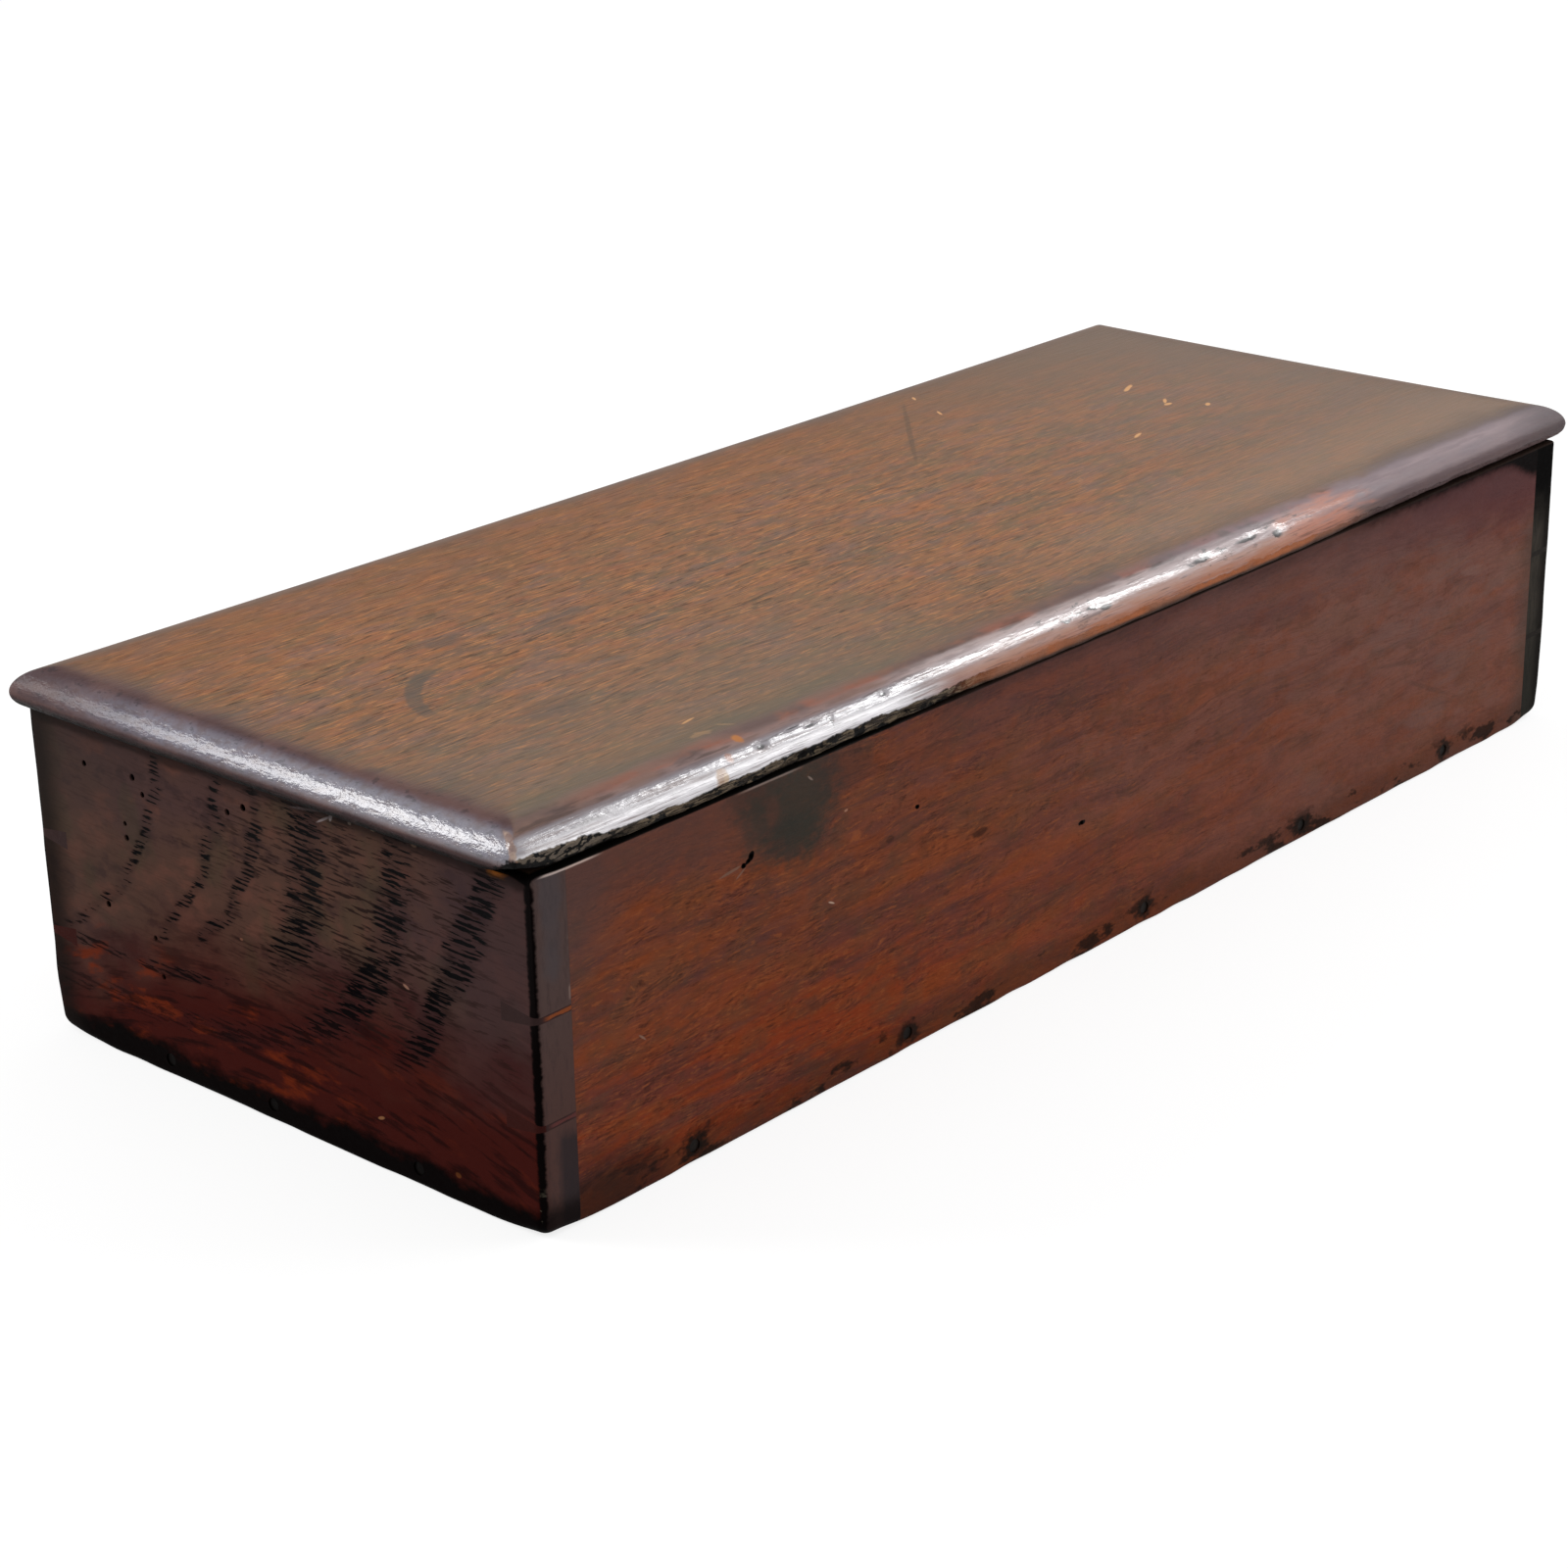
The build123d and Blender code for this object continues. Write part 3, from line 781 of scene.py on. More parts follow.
def lid_finish():
    """The whole lid: worn top, polished mouldings, broken lip and bare underside."""
    p = Paint("lid_varnish", specular=0.08, coat_roughness=0.22, coat_ior=2.0)
    from_end, from_side, inset, is_front, is_left = lid_masks(p)
    cloud = p.noise((26, 16, 16), 1)
    fleck = p.noise((2.4, 1.6, 1.6), 2)
    billow = cloud - 0.5
    speckle = fleck - 0.5
    rough_edge = speckle * 1.2
    top, top_relief = lid_top_colour(p, rough_edge)
    moulding, moulding_relief, shade, lengthwise, fibrous = moulding_colour(
        p, inset, is_front, is_left, fleck, rough_edge)
    lip, lip_relief = lip_colour(p, is_front)

    # dirt has gathered where the moulding meets the top
    border = (inset + billow * 16).ramp(19, 7) * (p.most(is_front, is_left) * 0.4 + 0.2)
    top.lay(border, 90, 78, 70)
    olive = is_front * p.x.ramp(-30, -90) * (inset + billow * 20 + rough_edge * 4).ramp(26, 10)
    top.lay(olive * 0.42, 108, 101, 84)
    edge = inset + billow * 6 + rough_edge * 1.5 + fibrous * 5 * is_front
    colour = p.mix(edge.ramp(11.5, 6.0), top, moulding)
    lip_edge = (p.noise((9, 40, 40), 14, detail=4, roughness=0.65) - 0.5) * 3.4
    lip_top = lid_low.z + 2.1 + is_front * p.x.ramp(20, -60, 0.9)
    lip_top = lip_top + is_front * (p.x.ramp(-162, -176, 1.9) - p.x.ramp(-110, -150, 0.5))
    lip_top = lip_top + lip_edge * (is_front * 0.7 + 0.3)
    on_lip = (p.z - lip_top).ramp(0.25, -0.1) * inset.ramp(5.0, 4.0)
    colour.lay(on_lip, lip)

    # worn wood along the mitres
    near = p.y.ramp(0, -10) * p.x.ramp(0, -10)
    drift = p.most(inset - 0.8, 0) * 0.5 * near
    seam = abs(from_end - from_side + drift) + speckle * 1.2
    at_mitre = seam.ramp(0.45, 0.2) * (inset + billow * 4).ramp(8.0, 6.0)
    scuffed = (seam + speckle * 2).ramp(1.5, 0.7) * near
    scuffed = scuffed * (inset + billow * 4).ramp(4.6, 3.6)
    colour.lay(at_mitre * (1 - near) * 0.7, 40, 32, 30)
    bare_mitre = p.mix(fleck.ramp(0.4, 0.6), (120, 82, 66), (186, 152, 128))
    colour.lay(scuffed * 0.85, bare_mitre)

    # the underside is bare, and the near corner's lost lip is painted black as shade
    under = p.z.ramp(lid_low.z + 3.2, lid_low.z + 2.8) * inset.ramp(3.2, 3.6)
    bare_grain = p.noise((40, 0.8, 4), 17)
    bare_wood = p.mix(bare_grain.ramp(0.35, 0.65), (112, 78, 52), (136, 98, 66))
    colour.lay(under, bare_wood)
    near_corner = (-lid_half_length, -lid_half_width, lid_low.z)
    shaded_lost_corner = (p.reach(near_corner, (11, 7, 4.2)) + rough_edge).ramp(1.1, 0.95)
    colour.lay(shaded_lost_corner, 4, 3, 3)

    # polish: along the nose at the left part, higher up along the rest
    lined = lengthwise.ramp(0.34, 0.52, 1, 0.5)
    polished_low = (inset + fibrous * 1.5).ramp(3.6, 2.0) * p.x.ramp(-60, -90)
    polished_high = inset.ramp(0.9, 2.2) * (inset + fibrous * 1.5).ramp(6.4, 5.0)
    polished_high = polished_high * p.x.ramp(-90, -60) * p.x.ramp(120, 10, 1, 0.15)
    glossy_front = is_front * (polished_low + polished_high) * lined
    nose = lid_low.z + nose_height
    glossy_left = is_left * inset.ramp(5.6, 3.0) * p.z.ramp(nose - 0.6, nose + 1.0)
    glossy_left = glossy_left * p.y.ramp(70, -50, 0.8, 0.08)
    glossy = (glossy_front + glossy_left) * (1 - on_lip) * (1 - shaded_lost_corner)
    coat = glossy * shade.ramp(0.2, 0.4, 1, 0.65)
    satin = (p.x - p.y * 0.3).ramp(-40, 190, 0.055, 0.01) * (1 - under) * (1 - on_lip)
    far_sheen = is_front * p.x.ramp(90, 130) * inset.ramp(1.4, 3.0) * inset.ramp(7.6, 5.0)
    satin = (satin + far_sheen * 0.14) * (1 - shaded_lost_corner)
    coat = p.most(coat, satin)
    on_top = inset.ramp(7, 10)
    relief = top_relief * on_top + moulding_relief * (1 - on_top) + lip_relief * on_lip * 2.5
    return p.finish(colour, 0.55 - glossy * 0.1, coat, relief, depth=0.35)


# Tints in clouds over the top: cell, seed, strength and colour
top_tints = (
    ((16, 6, 9), 18, 0.40, (156, 92, 56)),
    ((20, 9, 12), 9, 0.50, (116, 94, 88)),
    ((18, 8, 12), 8, 0.50, (104, 90, 66)),
    ((7, 3.5, 9), 61, 0.35, (150, 94, 70)),
    ((9, 4.5, 9), 62, 0.40, (100, 84, 74)),
)

# Dark smudges on the top: place, half length, half width and strength
top_smudges = (
    (-96.0, 8.0, 8.0, 3.0, 0.5),
    (-122.0, 16.6, 5.5, 2.6, 0.6),
    (-137.3, -31.3, 8.0, 4.5, 0.4),
)

# Small pale chips on the top: place, half length, half width and turn
top_chips = (
    (135.5, 23.5, 3.6, 0.7, 22),
    (131.5, 8.5, 2.0, 0.5, 35),
    (129.5, 6.0, 1.4, 0.7, 0),
    (135.5, -2.5, 1.4, 0.6, 30),
    (100.5, -5.2, 2.2, 0.6, 18),
    (85.5, 48.0, 1.6, 0.4, 60),
    (92.0, 62.0, 1.4, 0.4, 55),
    (-129.2, -65.2, 3.0, 0.8, 0),
    (-128.6, -65.2, 0.7, 1.5, 40),
    (-121.9, -65.4, 1.8, 0.4, -50),
    (-125.3, -58.0, 2.2, 0.4, 10),
)


def wall_inside(p, colour, into_wood, grain):
    """Bare aged wood on the faces that look into the box, darker low down, and a rim painted dark as
    the shade under the lid.
    """
    bare = p.mix(grain.ramp(0.35, 0.65), (104, 74, 50), (130, 96, 66))
    darker_low_down = p.z.ramp(22, 8)
    bare.lay(darker_low_down * 0.6, 62, 46, 36)
    # the rim's top, nearly black at the left: painted shade under the lid's lip
    dark = p.mix(p.x.ramp(-90, -40), (6, 5, 4), (36, 26, 22))
    rim = p.mix(into_wood.ramp(2.2, 3.2), dark, (64, 47, 36))
    colour.lay(p.z.ramp(height - 0.45, height - 0.2), rim)
    return p.mix(into_wood.ramp(wall - 0.4, wall - 0.15), colour, bare)


def long_wall_finish(name, side):
    """Red-brown varnish with a level grain; side is -1 for the front, which has the marks."""
    p = Paint(name, specular=0.015, coat_roughness=0.4)
    x = p.x * -side
    from_face = half_width - abs(p.y)
    from_end = half_length - abs(p.x)
    cloud = p.noise((50, 30, 16), 21)
    mottle = p.noise((13, 9, 6), 22, detail=4, roughness=0.62)
    level = p.z + (p.noise((45, 20, 12), 23, detail=2) - 0.5) * 8
    place = p.at(p.x, p.y, level)
    band = p.noise((90, 20, 7), 29, place=place)
    grain = p.noise((22, 9, 1.3), 24, detail=4, roughness=0.6, place=place)
    pitted = p.noise((3.4, 2.6, 1.0), 25, roughness=0.6, place=place)
    a_step_on = p.at(p.x + 0.4, p.y, level - 0.35)
    beside = p.noise((3.4, 2.6, 1.0), 25, roughness=0.6, place=a_step_on)
    fleck = p.noise((2.2, 2, 1.4), 26)
    uneven = mottle - 0.5
    speckle = fleck - 0.5
    rough_edge = speckle * 1.2

    # broad colour: orange-brown at the left and low down, purple to the right, and hazier there with
    # a painted sheen
    right = (x + (cloud - 0.5) * 90).ramp(-130, 130)
    colour = p.mix(right, (119, 65, 46), (117, 80, 71))
    low = (level + uneven * 14).ramp(46, 14)
    colour.lay(low * (1 - right), 133, 56, 30)
    colour.lay(low * right * 0.5, 118, 68, 52)
    colour.lay(band.ramp(0.50, 0.62) * (0.7 - right * 0.5), 132, 66, 36)
    colour.lay(band.ramp(0.48, 0.38) * (0.65 - right * 0.45), 88, 54, 50)
    for cell, seed, share, paint in wall_tints:
        tint = p.noise(cell, seed, detail=4, roughness=0.6).ramp(0.50, 0.62)
        colour.lay(tint * (1 - right * 0.4) * share, *paint)
    # lighter patches to the right: partly dust, partly a painted sheen
    dust_and_sheen = p.noise((26, 20, 10), 28, detail=4).ramp(0.52, 0.64) * x.ramp(20, 130)
    colour.lay(dust_and_sheen * 0.4, 112, 86, 80)

    # fine colour: streaks of the grain, and pits with a painted highlight on one side and painted
    # shade on the other
    colour.lay(grain.ramp(0.52, 0.68) * (0.4 - right * 0.2), 124, 68, 42)
    colour.lay(grain.ramp(0.47, 0.34) * (0.35 - right * 0.15), 66, 42, 36)
    pit_highlight_and_shade = (pitted - beside) * mottle.ramp(0.44, 0.60, 0.85, 0.15) * (1 - right * 0.6)
    colour.lay(pit_highlight_and_shade.ramp(0.02, 0.14, 0.35), 156, 86, 48)
    colour.lay(pit_highlight_and_shade.ramp(-0.02, -0.14, 0.4), 46, 26, 22)
    pore = p.noise((3.6, 3, 0.55), 67, roughness=0.6, place=place)
    pores = pore.ramp(0.56, 0.64) * mottle.ramp(0.42, 0.58, 1, 0.4) * (1 - right * 0.6)
    colour.lay(pores * 0.5, 58, 34, 28)
    colour.lay(pore.ramp(0.42, 0.34) * (1 - right * 0.7) * 0.35, 160, 90, 50)

    # painted shadow under the lid: nearly black at the right and along the far edge, maroon shade
    # around it
    painted_maroon_shade = (p.z + uneven * 14 + x.ramp(100, 182, 10)).ramp(58, 78) * x.ramp(70, 140)
    colour.lay(painted_maroon_shade * 0.75, 82, 38, 42)
    shaded = (p.z + uneven * 5 + x.ramp(160, 184, 6)).ramp(72.5, 76.0)
    shaded = shaded * x.ramp(60, 120)
    colour.lay(shaded, 8, 4, 4)
    near_strip = x.ramp(-158, -178) * (p.z + uneven * 16).ramp(44, 62)
    colour.lay(near_strip * 0.7, 82, 64, 62)
    colour.lay(x.ramp(170, 179) * p.z.ramp(66, 50, 0.5), 66, 58, 52)
    # darker below the lid's lip from the middle on: painted shade
    painted_lip_shade = x.ramp(-90, -50) * (1 - shaded)
    colour.lay(painted_lip_shade * (p.z + uneven * 14).ramp(56, 74, 0.5), 84, 62, 63)
    colour.lay(painted_lip_shade * (p.z + uneven * 5).ramp(71, 77, 0.5), 44, 32, 32)
    purple = (p.z + uneven * 22 + x * 0.12).ramp(40, 54) * x.ramp(-90, -140)
    colour.lay(purple * 0.7, 88, 62, 57)

    # the dark, knocked foot: partly grime, partly painted shade low down
    foot = (p.z + uneven * 14).ramp(11.0, 3.5)
    colour.lay(foot * 0.45, 60, 34, 24)
    foot_spots = mottle.ramp(0.53, 0.61) * p.z.ramp(11, 4)
    colour.lay(foot_spots * 0.85, 22, 17, 14)
    # darker at the near foot corner: partly grime, partly painted shade
    corner_grime_and_shade = p.spot((-172, side * half_width, 2), (16, flat, 10),
                          ragged=rough_edge * 0.6, soft=0.6)
    colour.lay(corner_grime_and_shade * 0.7, 40, 26, 24)
    node = "front_nails" if side < 0 else "back_nails"
    for along in places_along(node, 0):
        rust = p.spot((along, side * half_width, nail_height), (3.4, flat, 2.6),
                      ragged=rough_edge * 1.6, soft=0.4)
        colour.lay(rust * 0.9, 24, 19, 16)

    if side < 0:
        for (mark_x, mark_z), (wide, tall), turn, share, paint in front_marks:
            mark = p.spot((mark_x, -half_width, mark_z), (wide, flat, tall), (0, turn, 0),
                          rough_edge * 0.8, soft=0.5 if wide > 6 else 0.3)
            colour.lay(mark * share, *paint)
        for (hole_x, hole_z), (wide, tall), turn, _, _ in front_holes:
            hole = p.spot((hole_x, -half_width, hole_z), (wide, flat, tall), (0, turn, 0),
                          rough_edge * 0.8)
            # the holes' openings are painted black: painted shade inside them
            colour.lay(hole, 3, 2, 2)
        # a pale line along the top arris: a painted highlight
        faint = p.x.ramp(-132, -126) * p.x.ramp(-110, -116, 0.35)
        painted_rim_highlight = p.z.ramp(height - 0.9, height - 0.5) * p.most(p.x.ramp(-168, -174), faint)
        colour.lay(painted_rim_highlight * from_face.ramp(0.9, 0.5, 0.85), 200, 176, 166)

    # the pins, in the end grain of the tails
    pin_light = None
    for middle in pin_heights:
        line = (abs(p.z - middle) + speckle * 0.6).ramp(0.55, 0.25)
        pin_light = line if pin_light is None else p.most(pin_light, line)
    at_pin = from_end.ramp(wall + 0.2, wall - 0.2)
    at_left = p.x.ramp(10, -10)
    pin_wood = p.mix(p.z.ramp(32, 40), (92, 54, 52), (128, 68, 40))
    pin_colour = p.mix(pin_light * from_end.ramp(1.5, 4.0) * at_left, (56, 40, 39), pin_wood)
    # darker at the right end, like the painted shade on the strip there
    pin_colour.lay(1 - at_left, 36, 32, 29)
    colour.lay(at_pin, pin_colour)
    pin_end = from_end.ramp(1.6, 1.2)
    colour.lay(pin_end, p.mix(p.z.ramp(30, 42), (56, 25, 22), (56, 41, 40)))
    hidden = from_face.ramp(0.6, 1.0) * from_end.ramp(0.6, 1.0)
    colour.lay(hidden * at_pin, 8, 6, 5)
    colour = wall_inside(p, colour, from_face * (1 - at_pin), grain)
    coat = cloud.ramp(0.45, 0.65) * (1 - shaded) * 0.03
    relief = grain * 0.5 + pitted * 0.7 + fleck * 0.2
    return p.finish(colour, 0.6 + speckle * 0.2, coat, relief, depth=0.3)


# Tints in clouds over the long walls: cell, seed, strength and colour
wall_tints = (
    ((26, 30, 9), 27, 0.45, (82, 54, 53)),
    ((9, 9, 5), 64, 0.35, (120, 58, 30)),
    ((7, 9, 4), 65, 0.35, (74, 54, 44)),
    ((14, 9, 8), 66, 0.30, (92, 66, 48)),
)

# Marks on the front: place (x, z), half sizes, turn, strength and colour
front_marks = (
    ((-124, 75.0), (9, 6.0), 0, 0.6, (58, 50, 46)),
    ((-116, 68.5), (14, 10.0), 0, 0.6, (57, 53, 48)),
    ((-126, 66.0), (4, 7.0), 0, 0.3, (52, 54, 49)),
    ((-111, 68.0), (10, 11.0), 0, 0.6, (49, 54, 49)),
    ((-115, 61.0), (9, 5.0), 0, 0.45, (49, 50, 45)),
    ((-98, 72.0), (9, 5.0), 0, 0.5, (56, 48, 46)),
    ((-120.5, 69.0), (2.0, 3.2), 0, 0.28, (96, 60, 50)),
    ((-53.9, 42.9), (2.6, 0.9), 0, 0.7, (40, 28, 24)),
    ((-84.0, 51.0), (1.2, 0.7), 0, 0.5, (40, 28, 24)),
    ((-133.5, 59.9), (3.2, 0.3), -6, 0.6, (124, 100, 86)),
    ((-130.4, 58.6), (1.6, 0.25), -30, 0.6, (130, 100, 86)),
    ((-103.0, 43.0), (1.0, 0.22), 25, 0.8, (190, 160, 140)),
    ((-160.0, 33.5), (1.1, 0.22), 40, 0.6, (150, 120, 104)),
    ((-109.0, 72.5), (1.1, 0.22), 40, 0.6, (150, 130, 120)),
    ((-98.0, 62.0), (0.5, 0.25), 0, 0.7, (176, 130, 106)),
    ((150.0, 50.5), (6.0, 1.3), 8, 0.3, (132, 102, 94)),
    ((118.0, 34.0), (14.0, 0.6), 10, 0.3, (70, 56, 50)),
    ((130.0, 24.0), (12.0, 0.6), 24, 0.3, (72, 56, 50)),
)

# Holes in the front: place (x, z), the black mark's half sizes and turn, and the cut's radius
# and depth
front_holes = (
    ((-127.2, 61.3), (0.8, 1.1), 35, 0.7, 1.1),
    ((-128.0, 60.6), (1.2, 0.5), -20, 0.5, 0.9),
    ((-129.5, 60.0), (0.8, 0.6), 0, 0.55, 1.0),
    ((-17.0, 33.5), (1.4, 0.6), 0, 0.7, 1.0),
    ((-75.0, 55.6), (0.8, 0.5), 20, 0.5, 1.0),
)


def end_wall_finish(name, end):
    """Dark varnish, red above a black foot, with bands of open pores; the left has the holes."""
    p = Paint(name, specular=0.01, coat_roughness=0.45)
    from_end = half_length - abs(p.x)
    from_side = half_width - abs(p.y)
    cloud = p.noise((30, 34, 20), 41)
    mottle = p.noise((8, 12, 7), 42, detail=4, roughness=0.6)
    fleck = p.noise((2, 2.2, 1.2), 43)
    billow = cloud - 0.5
    uneven = mottle - 0.5
    speckle = fleck - 0.5
    waver = (p.noise((12, 12, 9), 44) - 0.5) * 9

    # bands of open pores that fall away from the front as they go down
    pores = None
    y = p.y + waver
    for start_y, start_z, fall, lean, half, share, low_end in pore_bands:
        below = p.most(start_z - p.z, 0)
        middle = below * below * fall + below * lean + start_y
        band = abs(y - middle).ramp(half, half * 0.2) * share
        band = band * (p.z + uneven * 8).ramp(low_end - 4, low_end + 6)
        pores = band if pores is None else p.most(pores, band)
    # the outermost ring sweeps round to run level near the foot
    over = abs(y - 68.5) * (1 / 110)
    down = abs(p.z - 83.8) * (1 / 72)
    ring = p.math("POWER", over * over * over + down * down * down, 1 / 3)
    sweep = abs(ring - 0.97).ramp(0.055, 0.01) * p.z.ramp(8, 16)
    pores = p.most(pores, sweep * 0.85)
    inner_sweep = abs(ring - 0.82).ramp(0.03, 0.01) * p.y.ramp(0, 24) * p.z.ramp(44, 34)
    pores = p.most(pores, inner_sweep * 0.6)

    # short black dashes, in uneven rows that lean a little, fill the bands
    row_step = 1.3
    level = p.z - p.y * 0.03
    tilted = p.at(p.x, p.y, level)
    dash_noise = p.noise((4, 8.0, 0.75), 45, detail=2, roughness=0.6, place=tilted)
    rows = level * (2 * math.pi / row_step) + (p.noise((9, 7, 6), 53, detail=2) - 0.5) * 16
    dashes = (dash_noise + pores * 0.10 + p.math("SINE", rows) * 0.045).ramp(0.60, 0.64)
    fading = (p.z + uneven * 16).ramp(10, 36, 1, 0.4)

    # purple-brown above, deep red low down, black at the foot; the greyish purple above is partly a
    # painted sheen
    colour = p.mix(cloud.ramp(0.38, 0.62), (76, 53, 50), (83, 58, 49))
    colour.lay(mottle.ramp(0.50, 0.66, 0.6), 104, 66, 55)
    colour.lay(mottle.ramp(0.46, 0.34, 0.6), 50, 35, 36)
    greenish = p.noise((14, 14, 18), 52).ramp(0.52, 0.64)
    colour.lay(greenish * 0.4, 70, 61, 45)
    near_edge = (p.y + billow * 20).ramp(-34, -58)
    colour.lay(near_edge * 0.7, 61, 45, 48)
    far = p.y.ramp(20, 66)
    colour.lay(far * 0.3, 68, 58, 54)
    colour.lay(far * p.z.ramp(48, 66, 0.4), 50, 40, 40)
    red = (p.z + billow * 30 + uneven * 16 + p.y.ramp(20, 70, 18)).ramp(52, 20)
    colour.lay(red, 63, 22, 18)
    # the streaks low down follow the rings: level in the middle, rising towards both edges
    bowed = p.at(p.x, p.y, p.z + p.y * p.y * 0.002)
    glow = p.noise((8, 14, 5), 46, detail=4, roughness=0.6, place=bowed).ramp(0.52, 0.68)
    glow = glow * p.z.ramp(34, 20) * p.y.ramp(-40, 10, 1, 0.3)
    colour.lay(glow * 0.8, 116, 44, 20)
    darker = p.noise((8, 20, 2.6), 47, detail=4, roughness=0.62, place=bowed).ramp(0.50, 0.62)
    colour.lay(darker * red * 0.75, 26, 9, 9)
    colour.lay(pores * 0.42 * fading, 38, 25, 27)
    stray = p.noise((4, 7.0, 0.65), 48, detail=2, roughness=0.6, place=tilted).ramp(0.54, 0.60)
    strewn = p.spot((0, -26, 56), (flat, 34, 30), ragged=uneven * 3, soft=0.6) * 0.8 + 0.15
    colour.lay(stray * strewn * p.z.ramp(20, 34), 36, 22, 19)
    colour.lay(dashes * pores.ramp(0.1, 0.5) * fading, 3, 2, 3)
    for (mark_y, mark_z), (wide, tall), turn, paint in left_marks:
        mark = p.spot((0, mark_y, mark_z), (flat, wide, tall), (turn, 0, 0), soft=0.3)
        colour.lay(mark * p.x.ramp(5, -5, 0.85), *paint)
    # darker just under the lid: painted shadow
    painted_lid_shadow = (p.z + uneven * 4).ramp(height - 3.2, height - 1.6)
    colour.lay(painted_lid_shadow * 0.7, 26, 17, 16)
    # black at the foot: partly grime, partly a painted dark reflection and shade
    foot = (p.z + uneven * 11).ramp(8.4, 4.4)
    colour.lay(foot, 5, 2, 2)
    # darker towards the far upright edge, where it rounds away: painted shade
    painted_far_edge_shade = p.y.ramp(half_width - 12, half_width - 3)
    colour.lay(painted_far_edge_shade * 0.85, 26, 21, 19)

    # end grain of the tails, on the long faces
    end_grain = p.noise((1.2, 3, 4.5), 49, detail=4, roughness=0.65)
    grey = p.mix(p.z.ramp(16, 60), (80, 58, 54), (82, 66, 63))
    grey.lay(end_grain.ramp(0.46, 0.64, 0.4), 62, 50, 50)
    grey.lay((p.z + uneven * 8).ramp(22, 18) * from_end.ramp(3.5, 6.0, 0.7), 38, 38, 42)
    # black low down here too: partly grime, partly painted shade
    grey.lay((p.z + uneven * 10).ramp(11, 3, 0.9), 20, 15, 15)
    pale_seam = p.noise((9, 9, 3), 50, detail=2).ramp(0.52, 0.64)
    pale_seam = pale_seam * from_end.ramp(wall - 0.7, wall - 0.3)
    grey.lay(pale_seam * p.z.ramp(44, 50) * p.z.ramp(64, 56, 0.5), 140, 116, 106)
    bluish = p.spot((-183.5, -half_width, 70), (2.6, flat, 16), ragged=uneven * 2, soft=0.5)
    grey.lay(bluish * 0.5, 72, 69, 73)
    # a pale line along the top arris: a painted highlight
    painted_rim_highlight = p.z.ramp(height - 0.8, height - 0.5) * from_side.ramp(0.9, 0.5)
    grey.lay(painted_rim_highlight * 0.85, 202, 182, 174)
    # the right end's strip is painted in shade, black at the top under the lid
    shadowed = p.mix(p.z.ramp(14, 34), (44, 42, 38), (58, 53, 48))
    shadowed.lay(end_grain.ramp(0.44, 0.62, 0.4), 30, 30, 28)
    shadowed.lay(from_end.ramp(6.5, 2.0, 0.8), 16, 13, 12)
    shadowed.lay((p.z + uneven * 10).ramp(50, 66), 3, 2, 2)
    grey.lay(p.x.ramp(-20, 20), shadowed)
    on_long_face = (from_end - from_side).ramp(-0.2, 0.2)
    colour.lay(on_long_face, grey)

    # black along the upright edges, with flecks of old paint at the near foot
    reach = p.most(from_end, from_side) + speckle + on_long_face * 0.5
    edge = reach.ramp(1.9, 1.2)
    colour.lay(edge, 9, 5, 5)
    knocked = fleck.ramp(0.58, 0.64) * edge * p.z.ramp(12, 3)
    colour.lay(knocked * p.y.ramp(0, -40), 150, 142, 122)
    if end < 0:
        scrape = p.spot((-half_length, -67.2, 76.0), (flat, 2.6, 1.1), ragged=speckle * 2.4, soft=0.5)
        orange = p.mix(fleck.ramp(0.4, 0.6), (92, 58, 26), (156, 90, 32))
        colour.lay(scrape * 0.85, orange)
    # black where the surface lies deep in the board, as in the beetle holes: painted shade
    painted_deep_shade = from_end.ramp(0.25, 0.5) * from_side.ramp(0.8, 1.2)
    colour.lay(painted_deep_shade, 6, 4, 4)
    grain = p.noise((2, 30, 1.2), 51)
    colour = wall_inside(p, colour, p.least(from_end, from_side), grain)
    coat = (p.z + uneven * 20).ramp(34, 66, 0.05) * (1 - on_long_face)
    relief = p.math("MULTIPLY", pores * dashes, -1.5) + mottle * 0.6 + fleck * 0.25
    return p.finish(colour, 0.62 + speckle * 0.2, coat, relief, depth=0.25)


# Bands of pores: y and z where each starts, how fast it falls away, its lean, half width,
# density and lower end
pore_bands = (
    (34.2, 73.9, 0.0154, 0.0, 3.4, 0.50, 24),
    (14.4, 76.2, 0.0120, 0.0, 3.6, 0.55, 30),
    (2.2, 73.9, 0.0138, 0.0, 3.4, 0.70, 34),
    (-12.4, 64.8, 0.0126, 0.0, 8.5, 0.95, 36),
    (-65.6, 72.4, 0.0, 0.56, 6.5, 1.0, 26),
    (-41.5, 74.0, 0.003, 0.1, 4.5, 0.70, 44),
)

# Small pale marks on the left end: place (y, z), half sizes, turn and colour
left_marks = (
    ((-13.5, 74.8), (4.8, 0.3), -8, (112, 98, 98)),
    ((-20.9, 75.0), (0.45, 0.9), 20, (180, 168, 168)),
    ((-18.8, 74.0), (2.4, 0.25), -28, (146, 134, 134)),
    ((-26.4, 75.1), (0.5, 0.35), 0, (150, 134, 122)),
    ((-33.1, 75.6), (0.8, 0.45), 0, (176, 156, 130)),
    ((-44.8, 75.3), (0.8, 0.45), 0, (150, 120, 100)),
    ((-40.0, 44.0), (0.9, 0.35), 20, (150, 110, 92)),
    ((10.0, 40.0), (0.5, 0.3), 0, (120, 80, 64)),
    ((-30.0, 12.0), (1.0, 0.35), -20, (150, 104, 70)),
    ((-52.0, 6.5), (0.8, 0.6), 0, (130, 74, 40)),
)

# Beetle holes in the left end: (y, z)
beetle_holes = (
    (57.8, 67.1), (41.8, 67.8), (38.8, 64.8), (45.6, 56.4), (45.6, 53.3),
    (54.0, 35.8), (38.8, 32.0), (37.2, 23.6), (6.0, 70.1), (11.3, 67.8),
)


